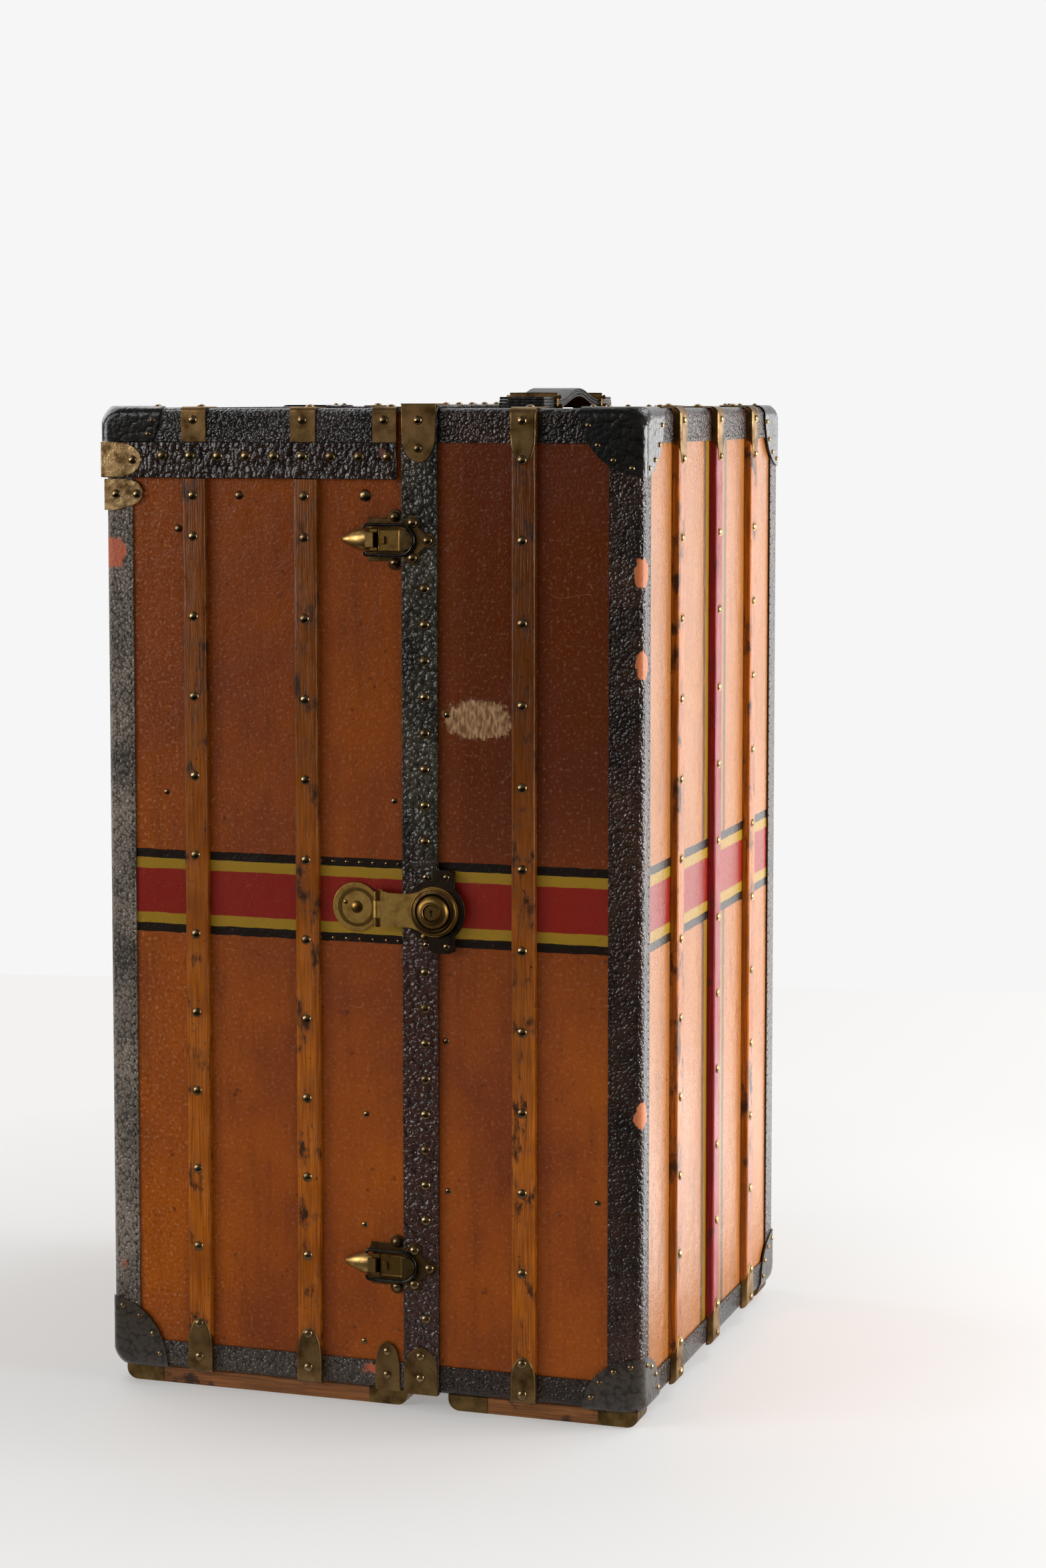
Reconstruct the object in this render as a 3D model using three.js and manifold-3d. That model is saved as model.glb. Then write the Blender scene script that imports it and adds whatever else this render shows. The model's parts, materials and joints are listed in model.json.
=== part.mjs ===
// Wardrobe trunk: a tall travelling trunk that stands on end and opens like a book.
// The right half holds a rack of drawers. The left half hangs clothes and has a lift-top lid.
// Millimetres, X to the right of the front, Y to the back, Z up. Pieces are drawn about the middle
// of the closed case, and the last lines move the origin to the bottom centre of the whole trunk.
import * as THREE from 'three';
import { mergeVertices } from 'three/addons/utils/BufferGeometryUtils.js';
import { RoundedBoxGeometry } from 'three/addons/geometries/RoundedBoxGeometry.js';
import Module from 'manifold-3d';

const wasm = await Module();
wasm.setup();

// Closed trunk, measured over its edge binding
const WIDTH = 640;
const DEPTH = 610;
const HEIGHT = 1130;
const DRAWER_HALF_WIDTH = 258;
const LID_HEIGHT = 38;
const RUNNER_HEIGHT = 18.7;

// Clearances and cuts
const FIT = 0.3;
const SEAM_GAP = 0.6;
const OVERRUN = 6;

// Case: plywood wall under canvas, edge binding, rounded edges and rounder vertices
const WALL = 9;
const BINDING = 2.2;
const EDGE_RADIUS = 9;
const VERTEX_DEPTH = 24;
const BORDER_TOP = 38;
const BORDER_BOTTOM = 33;
const BORDER_RIGHT = 40;
const BORDER_LEFT = 34;
const BORDER_FLANK = { front: 27, rear: 38 };
const CAP_REACH = { top: 74, base: 69, baseRise: [80, 62] };
const CAP_THICKNESS = 1.8;

// Lift-top lid, hinged along the outer side, with a skirt strip on its front and rear
const LID_OVERHANG = 3;
const LID_TO_BAND = 5.5;
const LID_RAIL = 9;
const SKIRT_HEIGHT = 41;
const SKIRT_PROUD = 2;
const SKIRT_CLEARANCE = 0.4;
const SKIRT_END = 4;
const LID_LEAF = { height: 27, thickness: 1.5, radius: 3.6, pin: 1.5, bore: 1.8, count: 9, inset: 3 };

// Seam valance over the joint of the two halves
const BAND_WIDTH = 42;
const BAND_LIFT = 0.5;
const BAND_THICKNESS = 6.5;
const TOP_VALANCE = 3.7;
const BRACKET = { thickness: 1.3, top: 64, bottom: 54, tab: 34, inset: 0.8 };

// Hardwood slats and their end clamps
const SLAT = { width: 27.5, height: 9.2, round: 3, end: 10 };
const CLAMP = { top: 62, base: 55, hangingBase: 66, side: 1.2, thickness: 1.4, tab: 30 };
const FRONT_SLAT_SHARES = { left: [0.20283, 0.83962], right: 0.51923 };
const SIDE_SLATS = [-172, -7, 158];
const LID_END_CLAMP_WIDTH = 28;

// Floor runners
const RUNNER = { width: 36, inset: 8, end: 14, seamEnd: 21, round: 8 };

// Top carrying handle and its staples
const HANDLE = { fromSeam: 83, y: -64, span: 196, width: 54, thickness: 10, rise: 13, end: 20, stop: 36, seat: 0.6 };
const STAPLE = { width: 72, depth: 14, plate: 1.6, bar: 2.6 };

// Draw latches, drawn from the band's left edge
const LATCH = {
  drop: 145.5, lift: 165, base: 44, height: 24, plate: 1.7, housing: 25.6, housingHalf: 12.2, housingTop: 11,
  pivot: 31, pivotRise: 10, ear: 4, earHalf: 12.3, earReach: 4.2, pin: 1.6, bore: 2,
  noseGap: 5, nose: 36, noseHalf: 11.6, noseBase: 2.6, web: 4, lobe: 8, lobeX: 7.6, lobeZ: 25.5,
};
const BAIL = { wire: 1.8, axis: 42, rise: 11.2, half: 17, corner: 2.5, boss: 3.2, bossHalf: 12.2 };
const STRIKE = { plate: 1.6, lobe: 8, lobeX: 20, lobeZ: 19.5, tipX: 33, core: 14, catchEnd: 16, catchTop: 5 };

// Lock, drawn from the hasp's hinge
const LOCK = {
  aboveMiddle: 6, hinge: 29.3, reach: 68.3, disc: 24, discX: 26.7, disc_thickness: 2.7, neck: 17,
  rivet: 8, rivetRise: 5, knuckle: 4.5, rise: 8.5, knuckleHalf: 9.7, ear: 7, pin: 1.8, bore: 2.2,
  ring: 27, hole: 20.4, rim: 24, rimRise: 3.4, arm: 16, armThickness: 3, armGap: 5.2, armLift: 1.1,
  boss: 19, bossRise: 6, cylinder: 9, keyway: 2.4, keywayHeight: 9, keywayDepth: 3,
  plate: 2, circle: 36, earLeft: 3, earRight: 24, earHalf: 47, earRound: 8,
};

// Rear hinges
const HINGE = {
  drop: 225, lift: 235, leaf: 40, height: 90, thickness: 2, radius: 4.6, rise: 5, pin: 2, bore: 2.3, count: 5,
};

// Drawer rack and drawers
const RACK = { setback: 9, panel: 6, back: 4, shelf: 20 };
const DRAWERS = { count: 5, tallest: 250, front: 8, side: 6, floor: 4, slack: 1, depth: 229, headroom: 2 };
const KNOB = { radius: 10, neck: 5, length: 11, neckLength: 4, base: 7 };

// Hanging half's fittings
const RAIL = { radius: 6, reach: 148, drop: 44, flange: 3, flangeWidth: 70, flangeHeight: 50, stop: 9, stopLength: 5 };
const HANGERS = [38, 103];
const HANGER = { span: 440, thickness: 14, middle: 22, tip: 14, drop: 46, wire: 1.9, hook: 8.4, neck: 24 };
const SHOE_BOX = { depth: 143, height: 176, wall: 5, front: 120 };

// Facets
const EDGE_STEPS = 2;
const ARC_STEPS = 6;
const ROUND_STEPS = 16;
const BALL_STEPS = 16;
const CAP_STEPS = 24;
const WIRE_SIDES = 6;
const BAIL_STEPS = 30;

const QUARTER = Math.PI / 2;
const AXES = ['x', 'y', 'z'];

// Planes that follow from the sizes
const RIGHT = WIDTH / 2;
const LEFT = -RIGHT;
const BACK = DEPTH / 2;
const FRONT = -BACK;
const BASE = RUNNER_HEIGHT + FIT;
const SEAM = RIGHT - DRAWER_HALF_WIDTH;
const SEAM_LEFT = SEAM - SEAM_GAP / 2;
const SEAM_RIGHT = SEAM + SEAM_GAP / 2;
const CANVAS = BINDING + FIT;
const CANVAS_FRONT = FRONT + CANVAS;
const CANVAS_BACK = BACK - CANVAS;
const CANVAS_LEFT = LEFT + CANVAS;
const CANVAS_RIGHT = RIGHT - CANVAS;
const INSET = CANVAS + WALL;
const LID_FLOOR = HEIGHT - LID_HEIGHT;
const BAND_LEFT = SEAM - BAND_WIDTH / 2;
const BAND_RIGHT = SEAM + BAND_WIDTH / 2;
const BAND_FACE = BAND_LIFT + BAND_THICKNESS;
const BAND_TOP = HEIGHT + FIT + TOP_VALANCE;
const LID_RIGHT = BAND_LEFT - LID_TO_BAND;
const SKIRT_LOW = LID_FLOOR - SKIRT_HEIGHT;
const VERTEX_RADIUS = VERTEX_DEPTH * Math.SQRT2 - EDGE_RADIUS * (Math.SQRT2 - 1);

const HASP_X = BAND_LEFT - LOCK.hinge;
const LOCK_Z = HEIGHT / 2 + LOCK.aboveMiddle;
const LATCH_Z = [HEIGHT - LATCH.drop, LATCH.lift];
const HINGE_Z = [HEIGHT - HINGE.drop, HINGE.lift];
const HANDLE_X = SEAM + HANDLE.fromSeam;

// Each front slat takes its share of what the corner caps and the lock leave free.
const FREE_LEFT = [LEFT + CAP_REACH.base, HASP_X - LOCK.discX - LOCK.disc];
const FREE_RIGHT = [HASP_X + LOCK.reach + LOCK.circle, RIGHT - CAP_REACH.top];
const between = ([low, high], share) => low + (high - low) * share;
const FRONT_SLATS_LEFT = FRONT_SLAT_SHARES.left.map((share) => between(FREE_LEFT, share));
const FRONT_SLAT_RIGHT = between(FREE_RIGHT, FRONT_SLAT_SHARES.right);

const BODY = { x: [LEFT, RIGHT], y: [FRONT, BACK], z: [BASE, HEIGHT] };
const LID = {
  x: [LEFT - LID_OVERHANG, RIGHT], y: [FRONT - LID_OVERHANG, BACK + LID_OVERHANG], z: [BASE, HEIGHT],
};
const CAVITY = { y: [FRONT + INSET, BACK - INSET], z: [BASE + INSET, HEIGHT - INSET] };

// Solids

// A closed three.js geometry as a solid that can be cut and joined.
function toSolid(geometry) {
  geometry.deleteAttribute('normal');
  geometry.deleteAttribute('uv');
  const merged = mergeVertices(geometry);
  return new wasm.Manifold(new wasm.Mesh({
    numProp: 3,
    vertProperties: merged.attributes.position.array,
    triVerts: new Uint32Array(merged.index.array),
  }));
}

function toGeometry(form) {
  const { vertProperties, triVerts } = form.getMesh();
  const geometry = new THREE.BufferGeometry();
  geometry.setAttribute('position', new THREE.BufferAttribute(vertProperties, 3));
  geometry.setIndex(new THREE.BufferAttribute(triVerts, 1));
  geometry.computeVertexNormals();
  return geometry;
}

function join(forms) {
  return forms.reduce((whole, form) => whole.add(form));
}

function cut(form, tools) {
  return tools.reduce((rest, tool) => rest.subtract(tool), form);
}

// A box between two places on each axis.
function block([x0, x1], [y0, y1], [z0, z1]) {
  const geometry = new THREE.BoxGeometry(x1 - x0, y1 - y0, z1 - z0);
  geometry.translate((x0 + x1) / 2, (y0 + y1) / 2, (z0 + z1) / 2);
  return toSolid(geometry);
}

function ball(radius, [x, y, z], steps) {
  const geometry = new THREE.SphereGeometry(radius, steps, steps / 2);
  geometry.translate(x, y, z);
  return toSolid(geometry);
}

// A round bar along an axis, from one place on it to another.
function rod(axis, radius, [from, to], [x, y, z]) {
  const geometry = new THREE.CylinderGeometry(radius, radius, to - from, ROUND_STEPS);
  geometry.translate(0, (from + to) / 2, 0);
  if (axis === 'x') geometry.rotateZ(-QUARTER);
  if (axis === 'z') geometry.rotateX(QUARTER);
  geometry.translate(x, y, z);
  return toSolid(geometry);
}

// An outline seen from above, pulled up from one height to another.
function prism(outline, [z0, z1]) {
  const geometry = new THREE.ExtrudeGeometry(outline, {
    depth: z1 - z0, bevelEnabled: false, curveSegments: ARC_STEPS,
  });
  geometry.translate(0, 0, z0);
  return toSolid(geometry);
}

// An outline seen from the front, with its thickness between two depths out from the face.
function plate(outline, [d0, d1]) {
  const geometry = new THREE.ExtrudeGeometry(outline, {
    depth: d1 - d0, bevelEnabled: false, curveSegments: ARC_STEPS,
  });
  geometry.translate(0, 0, d0);
  geometry.rotateX(QUARTER);
  return toSolid(geometry);
}

// A round bar of wire or leather along a curve.
function bar(section, path, steps) {
  return toSolid(new THREE.ExtrudeGeometry(section, { steps, bevelEnabled: false, extrudePath: path }));
}

function disc(radius, x, y) {
  const outline = new THREE.Shape();
  outline.absarc(x, y, radius, 0, 4 * QUARTER, false);
  return outline;
}

function rectangle([x0, x1], [y0, y1], radius) {
  const outline = new THREE.Shape();
  outline.moveTo(x0 + radius, y0);
  outline.lineTo(x1 - radius, y0);
  outline.absarc(x1 - radius, y0 + radius, radius, -QUARTER, 0, false);
  outline.lineTo(x1, y1 - radius);
  outline.absarc(x1 - radius, y1 - radius, radius, 0, QUARTER, false);
  outline.lineTo(x0 + radius, y1);
  outline.absarc(x0 + radius, y1 - radius, radius, QUARTER, 2 * QUARTER, false);
  outline.lineTo(x0, y0 + radius);
  outline.absarc(x0 + radius, y0 + radius, radius, 2 * QUARTER, 3 * QUARTER, false);
  return outline;
}

// A strap's section with its four corners cut, through its thickness and across its width.
function bevelled(x, y, corner) {
  const outline = new THREE.Shape();
  outline.moveTo(corner - x, -y);
  outline.lineTo(x - corner, -y);
  outline.lineTo(x, corner - y);
  outline.lineTo(x, y - corner);
  outline.lineTo(x - corner, y);
  outline.lineTo(corner - x, y);
  outline.lineTo(-x, y - corner);
  outline.lineTo(-x, corner - y);
  return outline;
}

// A strip of metal that ends in a rounded tongue, from its root to its tip.
const SHOULDER_SHARE = 0.42;
const FULLNESS_SHARE = 0.55;
function tongue(half, root, tip) {
  const shoulder = root + (tip - root) * SHOULDER_SHARE;
  const full = half * FULLNESS_SHARE;
  const outline = new THREE.Shape();
  outline.moveTo(-half, root);
  outline.lineTo(-half, shoulder);
  outline.bezierCurveTo(-half, shoulder + (tip - shoulder) * FULLNESS_SHARE, -full, tip, 0, tip);
  outline.bezierCurveTo(full, tip, half, shoulder + (tip - shoulder) * FULLNESS_SHARE, half, shoulder);
  outline.lineTo(half, root);
  return outline;
}

// The case

function vertexOf(bounds, end) {
  return AXES.map((axis, i) => bounds[axis][end[i]]);
}

// What a ball takes off one vertex of the case, so that it is rounder than the edges.
function vertexTrim(bounds, end, inset) {
  const centre = AXES.map((axis, i) => bounds[axis][end[i]] + (end[i] ? -VERTEX_DEPTH : VERTEX_DEPTH));
  const cube = AXES.map((axis, i) => (end[i]
    ? [centre[i], bounds[axis][1] + OVERRUN]
    : [bounds[axis][0] - OVERRUN, centre[i]]));
  return block(...cube).subtract(ball(VERTEX_RADIUS - inset, centre, BALL_STEPS));
}

// The rounded case form, drawn in by an inset or let out by a negative one.
function casing(bounds, inset) {
  const size = AXES.map((axis) => bounds[axis][1] - bounds[axis][0] - 2 * inset);
  const geometry = new RoundedBoxGeometry(...size, EDGE_STEPS, EDGE_RADIUS - inset);
  geometry.translate(...AXES.map((axis) => (bounds[axis][0] + bounds[axis][1]) / 2));
  const trims = [];
  for (const x of [0, 1]) {
    for (const y of [0, 1]) {
      for (const z of [0, 1]) trims.push(vertexTrim(bounds, [x, y, z], inset));
    }
  }
  return cut(toSolid(geometry), trims);
}

const ALL_X = [LEFT - LID_OVERHANG - OVERRUN, RIGHT + OVERRUN];
const ALL_Y = [FRONT - LID_OVERHANG - OVERRUN, BACK + LID_OVERHANG + OVERRUN];
const ALL_Z = [-OVERRUN, HEIGHT + OVERRUN];
const DRAWER_SIDE = block([SEAM_RIGHT, ALL_X[1]], ALL_Y, ALL_Z);
const HANGING_SIDE = block([ALL_X[0], SEAM_LEFT], ALL_Y, ALL_Z);
const LID_ZONE = block([ALL_X[0], LID_RIGHT + FIT], ALL_Y, [LID_FLOOR, ALL_Z[1]]);

const canvasForm = casing(BODY, CANVAS);
const bindingForm = casing(BODY, 0).subtract(casing(BODY, BINDING));

function drawerShell() {
  const hollow = block([SEAM - OVERRUN, RIGHT - INSET], CAVITY.y, CAVITY.z);
  return canvasForm.intersect(DRAWER_SIDE).subtract(hollow);
}

// The hanging half's top is open for the lid, with a rail across beside the seam.
function hangingShell() {
  const hollow = block([LEFT + INSET, SEAM + OVERRUN], CAVITY.y, CAVITY.z);
  const rail = block([LID_RIGHT + FIT, LID_RIGHT + FIT + LID_RAIL], [CANVAS_FRONT + WALL / 2, CANVAS_BACK - WALL / 2],
    [LID_FLOOR, HEIGHT - CANVAS - WALL / 2]);
  const shell = cut(canvasForm.intersect(HANGING_SIDE), [hollow, LID_ZONE]);
  return join([shell, rail, lidHingeLeaf(false)]);
}

const FRONT_LAYER = [FRONT - OVERRUN, FRONT + OVERRUN];
const BACK_LAYER = [BACK - OVERRUN, BACK + OVERRUN];
const BORDER_Z = [BASE + BORDER_BOTTOM, HEIGHT - BORDER_TOP];
const FLANK_Y = [FRONT + BORDER_FLANK.front, BACK - BORDER_FLANK.rear];

function drawerBinding() {
  const face = [SEAM - OVERRUN, RIGHT - BORDER_RIGHT];
  return cut(bindingForm.intersect(DRAWER_SIDE), [
    block(face, FRONT_LAYER, BORDER_Z),
    block(face, BACK_LAYER, BORDER_Z),
    block([RIGHT - OVERRUN, ALL_X[1]], FLANK_Y, BORDER_Z),
    block(face, [FRONT + BORDER_TOP, BACK - BORDER_TOP], [HEIGHT - OVERRUN, ALL_Z[1]]),
    block(face, [FRONT + BORDER_BOTTOM, BACK - BORDER_BOTTOM], [ALL_Z[0], BASE + OVERRUN]),
    block([SEAM - OVERRUN, BAND_RIGHT + FIT], [ALL_Y[0], CANVAS_FRONT - BAND_LIFT + FIT], ALL_Z),
  ]);
}

function hangingBinding() {
  const face = [LEFT + BORDER_LEFT, SEAM + OVERRUN];
  const high = [BORDER_Z[0], ALL_Z[1]];
  return cut(bindingForm.intersect(HANGING_SIDE), [
    block(face, FRONT_LAYER, high),
    block(face, BACK_LAYER, high),
    block([ALL_X[0], LEFT + OVERRUN], FLANK_Y, high),
    block(face, [FRONT + BORDER_BOTTOM, BACK - BORDER_BOTTOM], [ALL_Z[0], BASE + OVERRUN]),
    block([BAND_LEFT - FIT, SEAM + OVERRUN], [ALL_Y[0], CANVAS_FRONT - BAND_LIFT + FIT], ALL_Z),
    block(ALL_X, ALL_Y, [LID_FLOOR, ALL_Z[1]]),
  ]);
}

// A formed cap over one vertex, down to the case's underside.
function cornerCap(end) {
  const layer = casing(BODY, -FIT - CAP_THICKNESS).subtract(casing(BODY, -FIT));
  const across = end[2] ? CAP_REACH.top : CAP_REACH.base;
  const rise = end[2] ? CAP_REACH.top : CAP_REACH.baseRise[end[0]];
  const reach = ball(across, [0, 0, 0], CAP_STEPS).scale([1, 1, rise / across]).translate(vertexOf(BODY, end));
  return layer.intersect(reach).intersect(block(ALL_X, ALL_Y, [BASE, ALL_Z[1]]));
}

// The lid

const ABOVE_LID_FLOOR = block([ALL_X[0], LID_RIGHT], ALL_Y, [LID_FLOOR + FIT, ALL_Z[1]]);

function lidShell() {
  const hollow = block(
    [LID.x[0] + INSET, LID_RIGHT - WALL],
    [LID.y[0] + INSET, LID.y[1] - INSET],
    [LID_FLOOR - OVERRUN, HEIGHT - INSET],
  );
  return casing(LID, CANVAS).intersect(ABOVE_LID_FLOOR).subtract(hollow);
}

function lidBinding() {
  const layer = casing(LID, 0).subtract(casing(LID, BINDING)).intersect(ABOVE_LID_FLOOR);
  const window = block(
    [LID.x[0] + BORDER_TOP, LID_RIGHT - BORDER_TOP],
    [LID.y[0] + BORDER_TOP, LID.y[1] - BORDER_TOP],
    [HEIGHT - OVERRUN, ALL_Z[1]],
  );
  const caps = [0, 1].map((y) => casing(LID, -CAP_THICKNESS).subtract(casing(LID, BINDING / 2))
    .intersect(ball(CAP_REACH.top, vertexOf(LID, [0, y, 1]), CAP_STEPS)).intersect(ABOVE_LID_FLOOR));
  return join([layer.subtract(window), ...caps, ...lidClamps(), lidHingeLeaf(true)]);
}

// Clamps on the lid's border, in line with the slats below it and one at its free end.
function lidClamps() {
  const low = LID_FLOOR + FIT;
  const high = HEIGHT + CLAMP.thickness;
  const half = SLAT.width / 2 + CLAMP.side;
  const endMiddle = LID_RIGHT - LID_END_CLAMP_WIDTH / 2;
  const front = [...FRONT_SLATS_LEFT.map((x) => [x, half]), [endMiddle, LID_END_CLAMP_WIDTH / 2]];
  const onFront = front.flatMap(([x, reach]) => [
    block([x - reach, x + reach], [LID.y[0] - CLAMP.thickness, LID.y[0] + BINDING / 2], [low, high]),
    block([x - reach, x + reach], [LID.y[0] - CLAMP.thickness, LID.y[0] + CLAMP.tab], [HEIGHT - BINDING / 2, high]),
  ]);
  return [...onFront, ...onFront.map((clamp) => clamp.mirror([0, 1, 0]))];
}

// A skirt strip hangs below the lid's front or rear and laps over the case.
function lidSkirt(rear) {
  const strip = block([LID.x[0] - SKIRT_END, LID_RIGHT], [LID.y[0] - SKIRT_PROUD, FRONT - SKIRT_CLEARANCE],
    [SKIRT_LOW, LID_FLOOR]);
  return rear ? strip.mirror([0, 1, 0]) : strip;
}

// One leaf of the lid's long hinge. Its knuckles take turns with the other leaf's.
function lidHingeLeaf(upper) {
  const { height, thickness, radius, pin, bore, count, inset } = LID_LEAF;
  const axis = { x: LID.x[0] - FIT - radius, z: LID_FLOOR + FIT / 2 };
  const place = [axis.x, 0, axis.z];
  const reach = LID.y[1] - CAP_REACH.top - inset;
  const pitch = reach * 2 / count;
  const outer = LID.x[0] - FIT - thickness;
  const leaf = upper
    ? block([outer, LID.x[0] + BINDING / 2], [-reach, reach], [axis.z + FIT, axis.z + height])
    : block([outer, CANVAS_LEFT + WALL / 2], [-reach, reach], [axis.z - height, axis.z - FIT]);
  const knuckles = [];
  const gaps = [];
  for (let i = 0; i < count; i += 1) {
    const mine = (i % 2 === 0) !== upper;
    const span = [i * pitch - reach, (i + 1) * pitch - reach];
    if (mine) knuckles.push(rod('y', radius, [span[0] + FIT / 2, span[1] - FIT / 2], place));
    else gaps.push(rod('y', radius + FIT, [span[0] - FIT / 2, span[1] + FIT / 2], place));
  }
  const body = cut(join([leaf, ...knuckles]), gaps);
  if (upper) return body.subtract(rod('y', bore, [-reach - OVERRUN, reach + OVERRUN], place));
  return body.add(rod('y', pin, [-reach, reach], place));
}

// The seam valance

function seamValance() {
  const x = [BAND_LEFT, BAND_RIGHT];
  const face = CANVAS_FRONT - BAND_FACE;
  const half = BAND_WIDTH / 2 - BRACKET.inset;
  const front = block(x, [face, CANVAS_FRONT - BAND_LIFT], [BASE, BAND_TOP]);
  const top = block(x, [face, BACK - EDGE_RADIUS], [HEIGHT + FIT, BAND_TOP]);
  const upper = plate(tongue(half, BAND_TOP, BAND_TOP - BRACKET.top), [0, BRACKET.thickness + FIT]);
  const lower = plate(tongue(half, BASE, BASE + BRACKET.bottom), [0, BRACKET.thickness + FIT]);
  const tab = block([SEAM - half, SEAM + half], [face - BRACKET.thickness, face + BRACKET.tab],
    [BAND_TOP - FIT, BAND_TOP + BRACKET.thickness]);
  return join([front, top, upper.translate([SEAM, face + FIT, 0]), lower.translate([SEAM, face + FIT, 0]), tab]);
}

// Slats, drawn on a face that looks along -Y with the canvas at depth 0

function slatBar([z0, z1]) {
  const half = SLAT.width / 2;
  const crown = FIT + SLAT.height - SLAT.round;
  const outline = new THREE.Shape();
  outline.moveTo(-half, -FIT);
  outline.lineTo(-half, -crown);
  outline.absarc(SLAT.round - half, -crown, SLAT.round, 2 * QUARTER, 3 * QUARTER, false);
  outline.absarc(half - SLAT.round, -crown, SLAT.round, 3 * QUARTER, 4 * QUARTER, false);
  outline.lineTo(half, -FIT);
  return prism(outline, [z0, z1]);
}

// The clamp's end is at the case's edge, and a top one folds over onto the top face.
function slatClamp(end, length, turn) {
  const half = SLAT.width / 2 + CLAMP.side;
  const lift = CANVAS + FIT;
  const crown = FIT + SLAT.height + CLAMP.thickness;
  const fold = end + FIT + CLAMP.thickness;
  const strip = plate(tongue(half, turn ? fold : end, end + (turn ? -length : length)), [lift, crown]);
  if (!turn) return strip;
  return strip.add(block([-half, half], [-crown, CLAMP.tab], [end + FIT, fold]));
}

// The side view that a slat and its clamps keep to: its outer corners are rounded.
function slatProfile([z0, z1], roundTop) {
  const crown = -FIT - SLAT.height - CLAMP.thickness;
  const outline = new THREE.Shape();
  outline.moveTo(CLAMP.tab + OVERRUN, z0);
  outline.lineTo(crown + SLAT.end, z0);
  outline.absarc(crown + SLAT.end, z0 + SLAT.end, SLAT.end, 3 * QUARTER, 2 * QUARTER, true);
  if (roundTop) outline.absarc(crown + SLAT.end, z1 - SLAT.end, SLAT.end, 2 * QUARTER, QUARTER, true);
  else outline.lineTo(crown, z1);
  outline.lineTo(CLAMP.tab + OVERRUN, z1);
  const geometry = new THREE.ExtrudeGeometry(outline, {
    depth: SLAT.width * 2, bevelEnabled: false, curveSegments: ARC_STEPS,
  });
  geometry.translate(0, 0, -SLAT.width);
  geometry.rotateX(QUARTER);
  geometry.rotateZ(QUARTER);
  return toSolid(geometry);
}

// A slat sits over the bindings at its ends, so it is notched there.
function slat({ z, borders, clamps }) {
  const notchDepth = [-CANVAS - FIT, 0];
  const side = [-SLAT.width, SLAT.width];
  const low = block(side, notchDepth, [z[0] - OVERRUN, z[0] + borders[0] + FIT]);
  const high = block(side, notchDepth, [z[1] - borders[1] - FIT, z[1] + OVERRUN]);
  let form = slatBar(z).subtract(low).add(slatClamp(z[0], clamps[0], false));
  if (borders[1]) form = form.subtract(high).add(slatClamp(z[1], clamps[1], true));
  const top = borders[1] ? z[1] + FIT + CLAMP.thickness : z[1];
  return form.intersect(slatProfile([z[0], top], Boolean(borders[1])));
}

const tallSlat = slat({ z: [BASE, HEIGHT], borders: [BORDER_BOTTOM, BORDER_TOP], clamps: [CLAMP.base, CLAMP.top] });
const shortSlat = slat({ z: [BASE, SKIRT_LOW - FIT], borders: [BORDER_BOTTOM, 0], clamps: [CLAMP.hangingBase] });

// Runner: a bar with rounded lower ends, drawn along X
function runner([x0, x1]) {
  const outline = new THREE.Shape();
  outline.moveTo(x0, RUNNER_HEIGHT);
  outline.quadraticCurveTo(x0, 0, x0 + RUNNER.end, 0);
  outline.lineTo(x1 - RUNNER.end, 0);
  outline.quadraticCurveTo(x1, 0, x1, RUNNER_HEIGHT);
  return plate(outline, [-RUNNER.width / 2, RUNNER.width / 2]);
}

// Top handle, drawn about its middle on the top binding's plane, along Y

function carryingHandle() {
  const { span, width, thickness, rise, end, stop, seat } = HANDLE;
  const low = seat + STAPLE.plate + FIT + thickness / 2;
  const half = span / 2;
  const rounding = end / 2;
  const path = new THREE.CatmullRomCurve3([
    new THREE.Vector3(0, -half, low),
    new THREE.Vector3(0, end - half, low),
    new THREE.Vector3(0, end + rounding - half, low),
    new THREE.Vector3(0, -half / 2, low + rise * HANDLE_FLANK_SHARE),
    new THREE.Vector3(0, 0, low + rise),
    new THREE.Vector3(0, half / 2, low + rise * HANDLE_FLANK_SHARE),
    new THREE.Vector3(0, half - end - rounding, low),
    new THREE.Vector3(0, half - end, low),
    new THREE.Vector3(0, half, low),
  ]);
  const strap = bar(bevelled(thickness / 2, width / 2, thickness / 4), path, HANDLE_STEPS);
  const stops = [-1, 1].map((side) => block(
    [-width / 2, width / 2],
    side < 0 ? [-half - stop, FIT - half] : [half - FIT, half + stop],
    [low - thickness / 2, low + thickness * HANDLE_STOP_SHARE],
  ));
  return join([strap, ...stops]);
}
const HANDLE_FLANK_SHARE = 0.72;
const HANDLE_STOP_SHARE = 0.8;
const HANDLE_STEPS = 28;

// A staple over one end of the handle: plate, two legs and a bridge.
function staple() {
  const { width, depth, plate: foot, bar: leg } = STAPLE;
  const inner = HANDLE.width / 2 + HANDLE.seat;
  const bridge = HANDLE.seat + foot + FIT + HANDLE.thickness + FIT;
  const across = [-depth / 2, depth / 2];
  const legs = [-1, 1].map((side) => block(
    side < 0 ? [-inner - leg, -inner] : [inner, inner + leg],
    across,
    [HANDLE.seat, bridge + leg],
  ));
  return join([
    block([-width / 2, width / 2], across, [HANDLE.seat, HANDLE.seat + foot]),
    ...legs,
    block([-inner - leg, inner + leg], across, [bridge, bridge + leg]),
  ]);
}

// Draw latch, drawn from the band's left edge at the latch's height

const PIVOT = [-LATCH.pivot, -LATCH.pivotRise, 0];

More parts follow.
